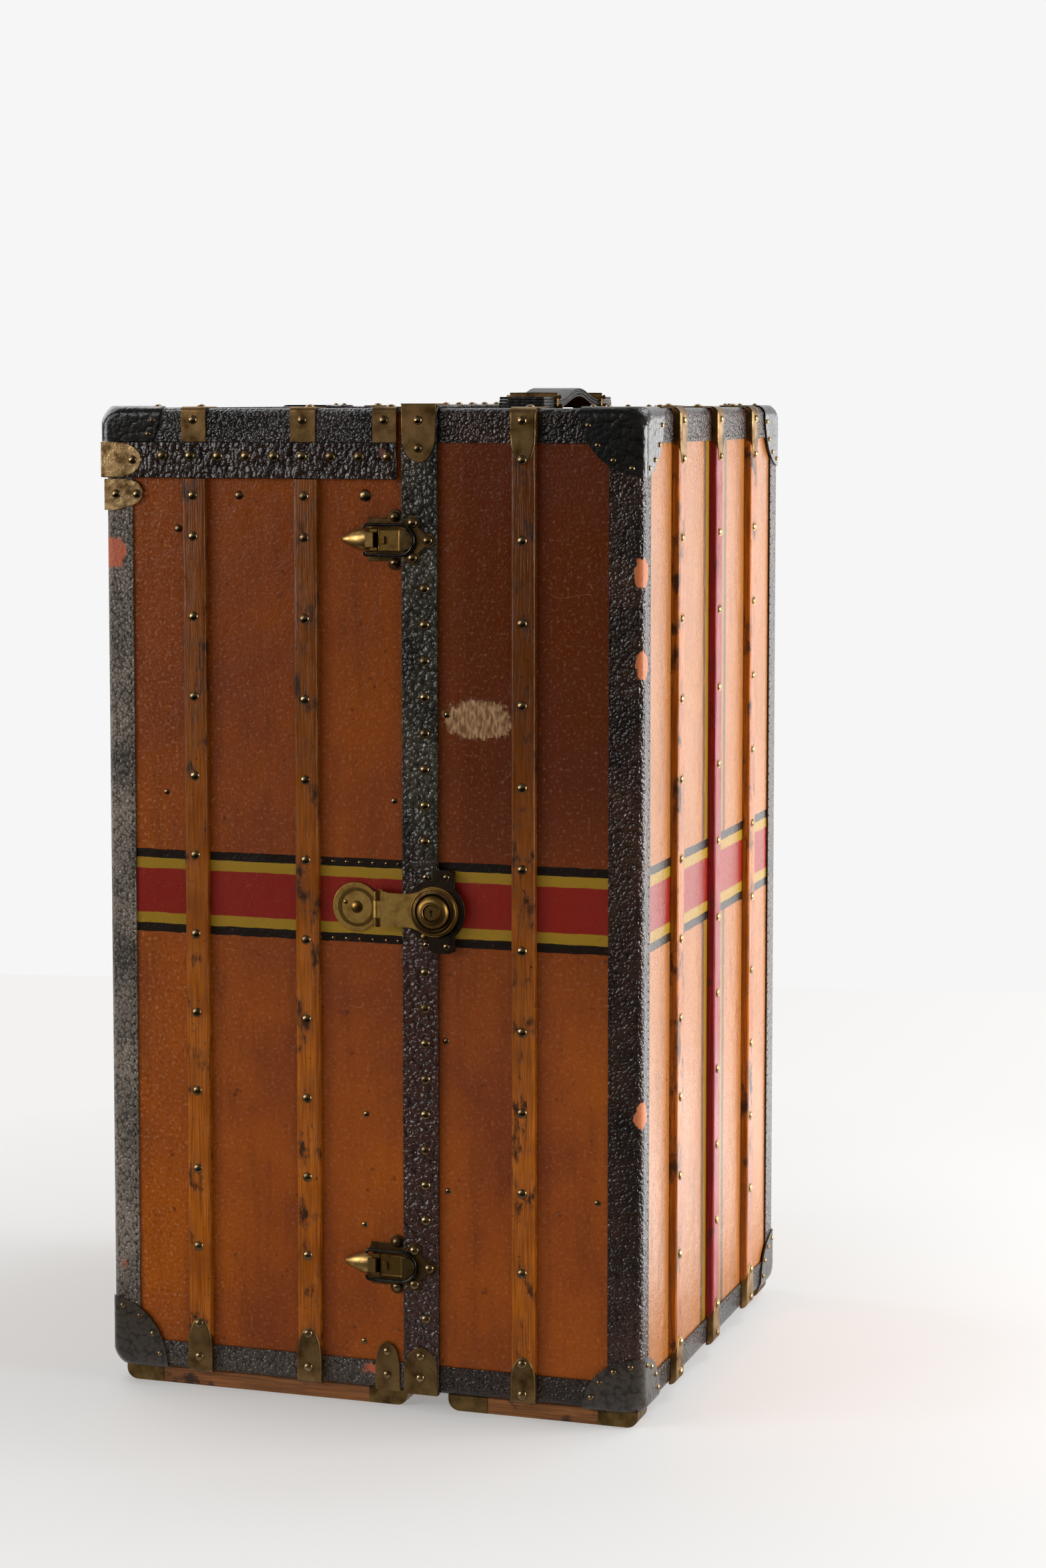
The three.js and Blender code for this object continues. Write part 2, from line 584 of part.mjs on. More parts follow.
function latchBase() {
  const { base, height, plate: sheet, housing, housingHalf, housingTop, ear, earHalf, earReach, pin } = LATCH;
  const outline = new THREE.Shape();
  outline.moveTo(-base, height / 2);
  outline.lineTo(-base, -height / 2);
  outline.lineTo(-LATCH.pivot, -height);
  outline.lineTo(-FIT, -height);
  outline.lineTo(-FIT, height);
  outline.lineTo(-LATCH.pivot, height);
  const lobes = [-1, 1].map((side) => plate(disc(LATCH.lobe, -LATCH.lobeX - LATCH.plate, side * LATCH.lobeZ), [FIT, sheet]));
  const ears = [-1, 1].map((side) => block(
    [-LATCH.pivot - earReach, -LATCH.pivot + earReach],
    [-LATCH.pivotRise - pin - FIT, -FIT],
    side < 0 ? [-earHalf, ear + -earHalf] : [earHalf - ear, earHalf],
  ));
  return join([
    plate(outline, [FIT, sheet]),
    ...lobes,
    block([-housing, -FIT], [-housingTop, -FIT], [-housingHalf, housingHalf]),
    ...ears,
    rod('z', pin, [-earHalf, earHalf], PIVOT),
  ]);
}

// The nose is half a pointed bullet, webbed to a knuckle between the ears.
const NOSE_POINT_STEPS = 6;
function latchLever() {
  const { noseGap, nose, noseHalf, noseBase, web, earHalf, ear, bore } = LATCH;
  const points = [new THREE.Vector2(0, 0)];
  for (let i = 0; i <= NOSE_POINT_STEPS; i += 1) {
    const along = i / NOSE_POINT_STEPS;
    points.push(new THREE.Vector2(i === NOSE_POINT_STEPS ? 0 : noseHalf * Math.cos(along * QUARTER), nose * along));
  }
  const bullet = new THREE.LatheGeometry(points, ROUND_STEPS);
  bullet.rotateZ(QUARTER);
  bullet.translate(-LATCH.pivot - noseGap, -noseBase, 0);
  const wide = [-LATCH.base - nose - OVERRUN, OVERRUN];
  const above = block(wide, [-noseBase - noseHalf - OVERRUN, -noseBase], [-noseHalf - OVERRUN, noseHalf + OVERRUN]);
  const inner = earHalf - ear - FIT;
  const radius = bore + web / 2;
  return join([
    toSolid(bullet).intersect(above),
    block([-LATCH.pivot - noseGap - web, -LATCH.pivot], [-LATCH.pivotRise - radius, -LATCH.pivotRise + radius], [-inner, inner]),
    rod('z', radius, [-inner, inner], PIVOT),
    rod('z', BAIL.boss, [-BAIL.bossHalf, BAIL.bossHalf], [-BAIL.axis, -BAIL.rise, 0]),
  ]).subtract(rod('z', bore, [-earHalf, earHalf], PIVOT));
}

// The wire bail runs round the housing and the strike's catch.
function latchBail() {
  const { wire, axis, rise, half, corner, bossHalf } = BAIL;
  const depth = -rise;
  const start = bossHalf + FIT;
  const side = [
    [-axis, start],
    [-axis, half - corner],
    [corner - axis, half],
    [-axis / 2, half],
    [-BAIL_ARC_START, half],
  ];
  const arc = [];
  for (let i = 1; i < BAIL_ARC_STEPS; i += 1) {
    const angle = QUARTER - (i / BAIL_ARC_STEPS) * 2 * QUARTER;
    arc.push([half * Math.cos(angle) - BAIL_ARC_START, half * Math.sin(angle)]);
  }
  const mirrored = side.map(([x, z]) => [x, -z]).reverse();
  const path = new THREE.CatmullRomCurve3([...side, ...arc, ...mirrored].map(([x, z]) => new THREE.Vector3(x, depth, z)));
  const section = new THREE.Shape();
  for (let i = 0; i < WIRE_SIDES; i += 1) {
    const angle = (i / WIRE_SIDES) * 4 * QUARTER;
    const point = [wire * Math.cos(angle), wire * Math.sin(angle)];
    if (i === 0) section.moveTo(...point);
    else section.lineTo(...point);
  }
  return bar(section, path, BAIL_STEPS);
}
const BAIL_ARC_START = 1;
const BAIL_ARC_STEPS = 6;

// Three-lobed strike on the band, with the catch that the bail pulls on.
function strike() {
  const deck = [BAND_FACE + FIT, BAND_FACE + FIT + STRIKE.plate];
  const lobes = [[STRIKE.lobeX, STRIKE.lobeZ], [STRIKE.lobeX, -STRIKE.lobeZ], [STRIKE.tipX, 0]];
  const half = LATCH.housingHalf;
  const core = rectangle([-STRIKE.core, STRIKE.core * 2], [-STRIKE.core, STRIKE.core], STRIKE.lobe / 2);
  const catchOutline = new THREE.Shape();
  catchOutline.moveTo(FIT, -half);
  catchOutline.lineTo(FIT + STRIKE.catchEnd / 4, -half);
  catchOutline.bezierCurveTo(STRIKE.catchEnd, -half, STRIKE.catchEnd, half, FIT + STRIKE.catchEnd / 4, half);
  catchOutline.lineTo(FIT, half);
  const spokes = lobes.map(([x, z]) => plate(disc(STRIKE.lobe, x, z), deck));
  const outline = join([plate(core, deck), ...spokes, plate(rectangle(
    [0, STRIKE.lobeX], [-STRIKE.lobeZ, STRIKE.lobeZ], FIT,
  ), deck)]);
  return outline.add(plate(catchOutline, [deck[0], deck[1] + STRIKE.catchTop]))
    .subtract(block([-STRIKE.core * 2, FIT], [-LATCH.base, 0], [-LATCH.base, LATCH.base]));
}

// Lock, drawn from the hasp's hinge

const HASP_PIVOT = [0, -LOCK.rise, 0];

function haspBase() {
  const { disc: radius, discX, disc_thickness: sheet, neck, knuckle, knuckleHalf, ear, pin, rivet, rivetRise } = LOCK;
  const ears = [-1, 1].flatMap((side) => {
    const span = side < 0 ? [-knuckleHalf - FIT - ear, -knuckleHalf - FIT] : [knuckleHalf + FIT, knuckleHalf + FIT + ear];
    return [rod('z', knuckle, span, HASP_PIVOT), block([-knuckle, knuckle], [-LOCK.rise, -FIT], span)];
  });
  const dome = ball(rivet, [-discX, rivet - rivetRise - sheet, 0], ROUND_STEPS)
    .intersect(block([-radius * 2, 0], [-radius, -sheet / 2], [-radius, radius]));
  return join([
    plate(disc(radius, -discX, 0), [FIT, sheet]),
    plate(rectangle([-discX, knuckle], [-neck, neck], knuckle), [FIT, sheet]),
    ...ears,
    rod('z', pin, [-knuckleHalf - ear, knuckleHalf + ear], HASP_PIVOT),
    dome,
  ]);
}

function hasp() {
  const { reach, ring, hole, rim, rimRise, arm, armThickness, armGap, armLift, knuckle, knuckleHalf, bore } = LOCK;
  const low = LOCK.rise + armLift;
  const deck = [low, low + armThickness];
  const taper = new THREE.Shape();
  taper.moveTo(armGap, -arm - LOCK.ear / 4);
  taper.lineTo(reach - hole, -arm);
  taper.lineTo(reach - hole, arm);
  taper.lineTo(armGap, arm + LOCK.ear / 4);
  return join([
    plate(disc(ring, reach, 0), deck),
    plate(disc(rim, reach, 0), [deck[0], deck[1] + rimRise]),
    plate(taper, deck),
    block([0, armGap + FIT], [-deck[1], -deck[0]], [-knuckleHalf, knuckleHalf]),
    rod('z', knuckle, [-knuckleHalf, knuckleHalf], HASP_PIVOT),
  ]).subtract(rod('z', bore, [-knuckleHalf * 2, knuckleHalf * 2], HASP_PIVOT))
    .subtract(rod('y', hole, [-reach, reach], [reach, 0, 0]));
}

// The lock case sits on the band and reaches down to the canvas beside it.
function lockCase() {
  const { reach, circle, earLeft, earRight, earHalf, earRound, plate: sheet, boss, bossRise, cylinder } = LOCK;
  const deck = [BAND_FACE + FIT, BAND_FACE + FIT + sheet];
  const outlines = [disc(circle, reach, 0), rectangle([reach - earLeft, reach + earRight], [-earHalf, earHalf], earRound)];
  const top = join(outlines.map((outline) => plate(outline, deck)));
  const beside = block([BAND_RIGHT + FIT - BAND_LEFT + LOCK.hinge, reach * 2], [-deck[1], -FIT], [-earHalf * 2, earHalf * 2]);
  const deep = join(outlines.map((outline) => plate(outline, [FIT, deck[1]]))).intersect(beside);
  const tower = rod('y', boss, [-deck[1] - bossRise, -deck[0]], [reach, 0, 0]);
  const bore = rod('y', cylinder + FIT, [-deck[1] - bossRise - OVERRUN, -deck[0] + OVERRUN], [reach, 0, 0]);
  return join([top, deep, tower]).subtract(bore.intersect(block([0, reach * 2], [-reach, -deck[0]], [-reach, reach])));
}

// Turning lock cylinder with a plain key slot, drawn about its own axis.
function lockCylinder() {
  const { plate: sheet, bossRise, cylinder, keyway, keywayHeight, keywayDepth } = LOCK;
  const front = BAND_FACE + FIT + sheet + bossRise - FIT;
  const slot = block([-keyway / 2, keyway / 2], [-front - OVERRUN, keywayDepth - front], [-keywayHeight / 2, keywayHeight / 2]);
  return rod('y', cylinder, [-front, -BAND_FACE - 2 * FIT], [0, 0, 0]).subtract(slot);
}

// Rear hinge, drawn with its barrel at the seam and the fixed leaf at -X

function hingeLeaf(fixed) {
  const { leaf, height, thickness, radius, rise, pin, bore, count } = HINGE;
  const pitch = height / count;
  const place = [0, -rise, 0];
  const side = fixed ? [-leaf, -FIT] : [FIT, leaf];
  const gaps = [];
  const knuckles = [];
  for (let i = 0; i < count; i += 1) {
    const span = [i * pitch - height / 2, (i + 1) * pitch - height / 2];
    const mine = (i % 2 === 0) === fixed;
    if (mine) knuckles.push(rod('z', radius, [span[0] + FIT / 2, span[1] - FIT / 2], place));
    else gaps.push(rod('z', radius + FIT, [span[0] - FIT / 2, span[1] + FIT / 2], place));
  }
  const sheet = block(side, [-FIT - thickness, -FIT], [-height / 2, height / 2]);
  const body = cut(join([sheet, ...knuckles]), gaps);
  if (fixed) return body.add(rod('z', pin, [-height / 2, height / 2], place));
  return body.subtract(rod('z', bore, [-height, height], place));
}

// Drawer rack: one carcass with a bay for each drawer

const RACK_X = [SEAM_RIGHT + RACK.setback, RIGHT - INSET - FIT];
const RACK_Y = [CAVITY.y[0] + FIT, CAVITY.y[1] - FIT];
const RACK_Z = [CAVITY.z[0] + FIT, CAVITY.z[1] - FIT];

// An open shelf at the top, the tallest bay at the bottom, and the others share the rest.
function bays() {
  const clear = RACK_Z[1] - RACK_Z[0] - RACK.shelf - (DRAWERS.count + 2) * RACK.panel;
  const other = (clear - DRAWERS.tallest) / (DRAWERS.count - 1);
  const spans = [];
  let floor = RACK_Z[0] + RACK.panel;
  for (let i = 0; i < DRAWERS.count; i += 1) {
    const height = i === 0 ? DRAWERS.tallest : other;
    spans.push([floor, floor + height]);
    floor += height + RACK.panel;
  }
  return spans;
}

function drawerRack() {
  const y = [RACK_Y[0] + RACK.panel, RACK_Y[1] - RACK.panel];
  const shelf = [RACK_Z[1] - RACK.panel - RACK.shelf, RACK_Z[1] - RACK.panel];
  const hollows = [...bays(), shelf].map((z) => block([RACK_X[0] - OVERRUN, RACK_X[1] - RACK.back], y, z));
  return cut(block(RACK_X, RACK_Y, RACK_Z), hollows);
}

function drawer([floor, ceiling]) {
  const { front, side, floor: sheet, slack, depth, headroom } = DRAWERS;
  const y = [RACK_Y[0] + RACK.panel + slack, RACK_Y[1] - RACK.panel - slack];
  const z = [floor + FIT, ceiling - headroom];
  const hollow = block(
    [RACK_X[0] + front, RACK_X[0] + depth - side],
    [y[0] + side, y[1] - side],
    [z[0] + sheet, z[1] + OVERRUN],
  );
  const middle = (z[0] + z[1]) / 2;
  const profile = [[0, 0], [KNOB.base, 0], [KNOB.neck, KNOB.neckLength], [KNOB.radius, KNOB.length - KNOB.neckLength],
    [KNOB.neck, KNOB.length], [0, KNOB.length]];
  const knob = new THREE.LatheGeometry(profile.map(([r, h]) => new THREE.Vector2(r, h)), ROUND_STEPS);
  knob.rotateZ(QUARTER);
  knob.translate(RACK_X[0] + FIT, 0, middle);
  return block([RACK_X[0], RACK_X[0] + depth], y, z).subtract(hollow).add(toSolid(knob));
}

// Hanging half's fittings

const RAIL_Z = HEIGHT - INSET - RAIL.drop - WALL;
const RAIL_ROOT = LEFT + INSET + FIT;

function garmentRail() {
  const { radius, reach, flange, flangeWidth, flangeHeight, stop, stopLength } = RAIL;
  const sheet = rectangle([-flangeWidth / 2, flangeWidth / 2], [-flangeHeight / 2, flangeHeight / 2], radius);
  const foot = new THREE.ExtrudeGeometry(sheet, { depth: flange, bevelEnabled: false, curveSegments: ARC_STEPS });
  foot.rotateX(QUARTER);
  foot.rotateZ(QUARTER);
  foot.translate(RAIL_ROOT, 0, RAIL_Z);
  return join([
    toSolid(foot),
    rod('x', radius, [RAIL_ROOT + flange / 2, RAIL_ROOT + reach], [0, 0, RAIL_Z]),
    rod('x', stop, [RAIL_ROOT + reach - stopLength, RAIL_ROOT + reach], [0, 0, RAIL_Z]),
  ]);
}

// A hanger drawn on the rail's axis: bowed wooden arm and a wire hook over the rail.
function hanger() {
  const { span, thickness, middle, tip, drop, wire, hook, neck } = HANGER;
  const rise = hook - wire - RAIL.radius - FIT;
  const top = rise - hook - neck;
  const arm = new THREE.Shape();
  arm.moveTo(-span / 2, top - drop);
  arm.quadraticCurveTo(-span / 4, top, 0, top);
  arm.quadraticCurveTo(span / 4, top, span / 2, top - drop);
  arm.lineTo(span / 2, top - drop - tip);
  arm.quadraticCurveTo(span / 4, top - middle, 0, top - middle);
  arm.quadraticCurveTo(-span / 4, top - middle, -span / 2, top - drop - tip);
  const wood = new THREE.ExtrudeGeometry(arm, { depth: thickness, bevelEnabled: false, curveSegments: ARC_STEPS });
  wood.translate(0, 0, -thickness / 2);
  wood.rotateX(QUARTER);
  wood.rotateZ(QUARTER);
  const points = [new THREE.Vector3(0, 0, top - wire), new THREE.Vector3(0, 0, top + neck / 2)];
  for (let i = 0; i <= HOOK_STEPS; i += 1) {
    const angle = -QUARTER + HOOK_START_SHARE * QUARTER + (i / HOOK_STEPS) * HOOK_SWEEP_SHARE * QUARTER;
    points.push(new THREE.Vector3(0, hook * Math.cos(angle), rise - FIT + hook * Math.sin(angle)));
  }
  const section = disc(wire, 0, 0);
  const hookBar = new THREE.ExtrudeGeometry(section, {
    steps: HOOK_STEPS * 2, bevelEnabled: false, curveSegments: 2, extrudePath: new THREE.CatmullRomCurve3(points),
  });
  return toSolid(wood).add(toSolid(hookBar));
}
const HOOK_STEPS = 10;
const HOOK_START_SHARE = 0.35;
const HOOK_SWEEP_SHARE = 2.3;

// Shoe box on the floor of the hanging half, open above a low front.
function shoeBox() {
  const { depth, height, wall, front } = SHOE_BOX;
  const x = [LEFT + INSET + FIT, LEFT + INSET + FIT + depth];
  const y = [CAVITY.y[0] + FIT, CAVITY.y[1] - FIT];
  const z = [CAVITY.z[0] + FIT, CAVITY.z[0] + FIT + height];
  const hollow = block([x[0] + wall, x[1] - wall], [y[0] + wall, y[1] - wall], [z[0] + wall, z[1] + OVERRUN]);
  const low = block([x[1] - wall - OVERRUN, x[1] + OVERRUN], [y[0] + wall, y[1] - wall], [z[0] + front, z[1] + OVERRUN]);
  return cut(block(x, y, z), [hollow, low]);
}

// Finishes

const FINISHES = {
  canvas: { color: '#8a4a1e', roughness: 0.55, metalness: 0 },
  leather: { color: '#2c1f1a', roughness: 0.45, metalness: 0 },
  cap: { color: '#2b2724', roughness: 0.5, metalness: 0.3 },
  wood: { color: '#a4672c', roughness: 0.5, metalness: 0 },
  lining: { color: '#b59a6a', roughness: 0.8, metalness: 0 },
  brass: { color: '#8f7038', roughness: 0.4, metalness: 1 },
  iron: { color: '#1f1c1a', roughness: 0.45, metalness: 1 },
};

const trunk = new THREE.Group();

function add(name, form, finish, { at = [0, 0, 0], turn = 0 } = {}) {
  const mesh = new THREE.Mesh(toGeometry(form), new THREE.MeshStandardMaterial(FINISHES[finish]));
  mesh.name = name;
  mesh.position.set(...at);
  mesh.rotation.z = turn;
  trunk.add(mesh);
}

// Drawer half
add('drawer_shell', drawerShell(), 'canvas');
add('drawer_binding', drawerBinding(), 'leather');
add('drawer_corner_top_front', cornerCap([1, 0, 1]), 'cap');
add('drawer_corner_top_rear', cornerCap([1, 1, 1]), 'cap');
add('drawer_corner_bottom_front', cornerCap([1, 0, 0]), 'cap');
add('drawer_corner_bottom_rear', cornerCap([1, 1, 0]), 'cap');
add('seam_valance', seamValance(), 'leather');
add('drawer_slat_front', tallSlat, 'wood', { at: [FRONT_SLAT_RIGHT, CANVAS_FRONT, 0] });
add('drawer_slat_back', tallSlat, 'wood', { at: [FRONT_SLAT_RIGHT, CANVAS_BACK, 0], turn: 2 * QUARTER });
SIDE_SLATS.forEach((y, i) => {
  add(`drawer_slat_side_${i + 1}`, tallSlat, 'wood', { at: [CANVAS_RIGHT, y, 0], turn: QUARTER });
  add(`hanging_slat_side_${i + 1}`, shortSlat, 'wood', { at: [CANVAS_LEFT, y, 0], turn: -QUARTER });
});
const runnerY = [FRONT + RUNNER.inset + RUNNER.width / 2, BACK - RUNNER.inset - RUNNER.width / 2];
const drawerRunner = runner([BAND_RIGHT + RUNNER.inset, RIGHT - RUNNER.end / 2]);
const hangingRunner = runner([LEFT + RUNNER.end, BAND_LEFT]);
add('drawer_runner_front', drawerRunner, 'wood', { at: [0, runnerY[0], 0] });
add('drawer_runner_rear', drawerRunner, 'wood', { at: [0, runnerY[1], 0] });
add('top_handle', carryingHandle(), 'leather', { at: [HANDLE_X, HANDLE.y, HEIGHT - CANVAS] });
const stapleY = HANDLE.span / 2 - HANDLE.end / 2;
add('handle_staple_front', staple(), 'brass', { at: [HANDLE_X, HANDLE.y - stapleY, HEIGHT - CANVAS] });
add('handle_staple_rear', staple(), 'brass', { at: [HANDLE_X, HANDLE.y + stapleY, HEIGHT - CANVAS] });
add('lock_case', lockCase(), 'cap', { at: [HASP_X, CANVAS_FRONT, LOCK_Z] });
add('lock_cylinder', lockCylinder(), 'brass', { at: [HASP_X + LOCK.reach, CANVAS_FRONT, LOCK_Z] });
['upper', 'lower'].forEach((level, i) => {
  const at = [BAND_LEFT, CANVAS_FRONT, LATCH_Z[i]];
  add(`strike_${level}`, strike(), 'brass', { at });
  add(`latch_base_${level}`, latchBase(), 'brass', { at });
  add(`latch_lever_${level}`, latchLever(), 'brass', { at });
  add(`latch_bail_${level}`, latchBail(), 'iron', { at });
  const hingeAt = { at: [SEAM, CANVAS_BACK, HINGE_Z[i]], turn: 2 * QUARTER };
  add(`hinge_fixed_${level}`, hingeLeaf(true), 'brass', hingeAt);
  add(`hinge_moving_${level}`, hingeLeaf(false), 'brass', hingeAt);
});
add('drawer_rack', drawerRack(), 'lining');
bays().forEach((span, i) => add(`drawer_${i + 1}`, drawer(span), 'lining'));

// Hanging half
add('hanging_shell', hangingShell(), 'canvas');
add('hanging_binding', hangingBinding(), 'leather');
add('hanging_corner_front', cornerCap([0, 0, 0]), 'cap');
add('hanging_corner_rear', cornerCap([0, 1, 0]), 'cap');
FRONT_SLATS_LEFT.forEach((x, i) => {
  add(`hanging_slat_front_${i + 1}`, shortSlat, 'wood', { at: [x, CANVAS_FRONT, 0] });
  add(`hanging_slat_back_${i + 1}`, shortSlat, 'wood', { at: [x, CANVAS_BACK, 0], turn: 2 * QUARTER });
});
add('hanging_runner_front', hangingRunner, 'wood', { at: [0, runnerY[0], 0] });
add('hanging_runner_rear', hangingRunner, 'wood', { at: [0, runnerY[1], 0] });
add('hasp_base', haspBase(), 'brass', { at: [HASP_X, CANVAS_FRONT, LOCK_Z] });
add('hasp', hasp(), 'brass', { at: [HASP_X, CANVAS_FRONT, LOCK_Z] });
add('garment_rail', garmentRail(), 'brass');
HANGERS.forEach((x, i) => add(`hanger_${i + 1}`, hanger(), 'wood', { at: [RAIL_ROOT + x, 0, RAIL_Z] }));
add('shoe_box', shoeBox(), 'lining');

// Lid
add('lid_shell', lidShell(), 'canvas');
add('lid_binding', lidBinding(), 'leather');
add('lid_skirt_front', lidSkirt(false), 'leather');
add('lid_skirt_rear', lidSkirt(true), 'leather');

// Origin at the bottom centre of the whole trunk
const extent = new THREE.Box3().setFromObject(trunk);
const middle = extent.getCenter(new THREE.Vector3());
trunk.position.set(-middle.x, -middle.y, -extent.min.z);

export default trunk;
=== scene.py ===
# %% [markdown]
# # A wardrobe trunk that opens like a book
# The real trunk is plywood under varnished canvas. Leather binds its edges, hardwood slats guard its
# faces, and brass nails, clamps and latches hold it together. The frame below is the fixed form of the
# trunk and its moving parts. This script dresses that frame, so each new piece is drawn in
# millimetres in the trunk's own measures and then moved to where the frame stands.

# %% Load the frame
import json
import math
import random

import bmesh
import bpy
from mathutils import Matrix, Vector

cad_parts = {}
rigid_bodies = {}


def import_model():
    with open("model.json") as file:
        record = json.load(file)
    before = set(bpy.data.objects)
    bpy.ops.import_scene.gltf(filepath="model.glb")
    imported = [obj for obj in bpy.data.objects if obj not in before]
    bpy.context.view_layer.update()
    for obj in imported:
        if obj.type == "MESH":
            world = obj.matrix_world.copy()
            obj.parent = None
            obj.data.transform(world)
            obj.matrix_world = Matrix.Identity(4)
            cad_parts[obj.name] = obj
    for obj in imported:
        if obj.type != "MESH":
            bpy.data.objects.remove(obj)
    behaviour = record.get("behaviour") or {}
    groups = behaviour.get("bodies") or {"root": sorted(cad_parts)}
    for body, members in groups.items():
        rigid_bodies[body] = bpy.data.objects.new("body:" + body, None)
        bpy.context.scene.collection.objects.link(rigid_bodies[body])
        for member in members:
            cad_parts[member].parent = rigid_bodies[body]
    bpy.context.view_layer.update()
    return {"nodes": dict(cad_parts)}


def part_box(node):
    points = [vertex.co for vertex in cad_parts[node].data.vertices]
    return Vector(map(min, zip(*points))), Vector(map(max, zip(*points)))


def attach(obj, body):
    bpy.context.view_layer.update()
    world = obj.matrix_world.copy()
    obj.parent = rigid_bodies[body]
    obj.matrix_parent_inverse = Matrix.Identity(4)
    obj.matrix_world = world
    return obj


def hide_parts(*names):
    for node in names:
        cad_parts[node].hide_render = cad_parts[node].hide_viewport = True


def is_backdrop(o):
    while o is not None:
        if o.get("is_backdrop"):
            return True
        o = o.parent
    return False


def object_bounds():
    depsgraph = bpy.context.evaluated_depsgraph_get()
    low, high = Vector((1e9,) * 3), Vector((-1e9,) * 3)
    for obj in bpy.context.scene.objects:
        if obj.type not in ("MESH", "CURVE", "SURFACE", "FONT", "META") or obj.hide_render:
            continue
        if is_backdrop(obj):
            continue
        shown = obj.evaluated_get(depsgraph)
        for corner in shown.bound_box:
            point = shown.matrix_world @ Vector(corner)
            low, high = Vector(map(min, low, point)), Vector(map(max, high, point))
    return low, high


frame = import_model()

# %% [markdown]
# The main sizes repeat the ones that the trunk was drawn with. The frame's origin is under the middle
# of everything that stands out, so a small shift joins the two. It is read from the drawer half's
# binding, whose outer faces are the faces of the case.

# %% Sizes in millimetres
WIDTH, DEPTH, HEIGHT = 640, 610, 1130
RIGHT, LEFT, FRONT, BACK = WIDTH / 2, -WIDTH / 2, -DEPTH / 2, DEPTH / 2
BASE = 19  # underside of the case, which the runners carry
FIT = 0.3  # gap between neighbours
CANVAS = 2.5  # depth of the canvas below the outer faces of the leather
SEAM = 62  # where the two halves meet
BAND_LEFT, BAND_RIGHT = 41, 83
LID_LEFT, LID_RIGHT, LID_FLOOR = -323, 35.5, 1092
SKIRT_LOW = 1051
corner_low, corner_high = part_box("drawer_binding")
SHIFT = Vector((corner_high.x * 1000 - RIGHT, corner_low.y * 1000 - FRONT, 0))
TO_FRAME = Matrix.Scale(0.001, 4) @ Matrix.Translation(SHIFT)
print("shift in mm", SHIFT)

# %% [markdown]
# The camera stands where the photographer stood, to the right of the trunk and a little above its
# top. The lens looks slightly down, and the small shift puts the trunk low in the picture.

# %% Camera
CAMERA_PLACE = Vector((1295.03, -3734.18, 1143.38))
TURN, TILT = math.radians(-17.9871), math.radians(4.7747)
PICTURE_HEIGHT, FOCAL_PIXELS, LENS_ROW = 2350, 4931.7, 1005.6
camera_data = bpy.data.cameras.new("camera")
camera_data.sensor_width = 36
camera_data.lens = FOCAL_PIXELS / PICTURE_HEIGHT * camera_data.sensor_width
camera_data.shift_y = -(PICTURE_HEIGHT / 2 - LENS_ROW) / PICTURE_HEIGHT
camera = bpy.data.objects.new("camera", camera_data)
bpy.context.collection.objects.link(camera)
camera.location = TO_FRAME @ CAMERA_PLACE
look = Vector((math.sin(TURN) * math.cos(TILT), math.cos(TURN) * math.cos(TILT), -math.sin(TILT)))
camera.rotation_euler = look.to_track_quat("-Z", "Y").to_euler()
bpy.context.scene.camera = camera
print("camera", [round(v, 3) for v in camera.location], "lens", round(camera_data.lens, 2), "mm")

# %% [markdown]
# Colours are written as they look on a screen, and the shader wants them linear. Every material is a
# small tree of nodes, so one helper adds a node, sets it and links it.

# %% Helpers for materials
def linear(code):
    channels = [int(code[i:i + 2], 16) / 255 for i in (1, 3, 5)]
    return (*[c / 12.92 if c <= 0.04045 else ((c + 0.055) / 1.055) ** 2.4 for c in channels], 1)


def add_node(tree, kind, inputs=None, **settings):
    node = tree.nodes.new(kind)
    for name, value in settings.items():
        setattr(node, name, value)
    for socket, value in (inputs or {}).items():
        if isinstance(value, bpy.types.NodeSocket):
            tree.links.new(value, node.inputs[socket])
        else:
            node.inputs[socket].default_value = value
    return node


def new_material(name, roughness, metallic=0.0, ior=1.5):
    material = bpy.data.materials.new(name)
    material.use_nodes = True
    tree = material.node_tree
    shader = tree.nodes["Principled BSDF"]
    shader.inputs["Roughness"].default_value = roughness
    shader.inputs["Metallic"].default_value = metallic
    shader.inputs["IOR"].default_value = ior
    place = add_node(tree, "ShaderNodeTexCoord").outputs["Object"]
    print("material", name)
    return material, tree, shader, place


def noise(tree, place, scale, detail=3.0, roughness=0.5, stretch=None):
    if stretch:
        place = add_node(tree, "ShaderNodeMapping", {"Vector": place, "Scale": stretch}).outputs[0]
    return add_node(tree, "ShaderNodeTexNoise", {"Vector": place, "Scale": scale, "Detail": detail,
                                                 "Roughness": roughness}).outputs[0]


def ramp(tree, value, start, end, low=0.0, high=1.0):
    return add_node(tree, "ShaderNodeMapRange", {0: value, 1: start, 2: end, 3: low, 4: high}).outputs[0]


def mix(tree, share, under, over):
    under, over = [linear(c) if isinstance(c, str) else c for c in (under, over)]
    return add_node(tree, "ShaderNodeMix", {0: share, 6: under, 7: over}, data_type="RGBA").outputs[2]


def calc(tree, kind, *values):
    return add_node(tree, "ShaderNodeMath", dict(enumerate(values)), operation=kind).outputs[0]


# %% [markdown]
# ## Studio
# The trunk stands on a plain pale floor that runs on into a white surround, as a roll of studio paper
# does. The camera sees the far floor and the surround nearly white, and so does anything glossy that
# mirrors the room behind the trunk. The room in front is dark, as a photographer's room is, which
# keeps the varnish deep in colour. Close to the trunk the floor is lit by the lamps and holds a shadow.

# %% Studio floor
PAPER_TURN, PAPER_REACH = math.radians(12.5), 2.405
SHADOW_NEAR, SHADOW_FAR = 0.6, 1.45


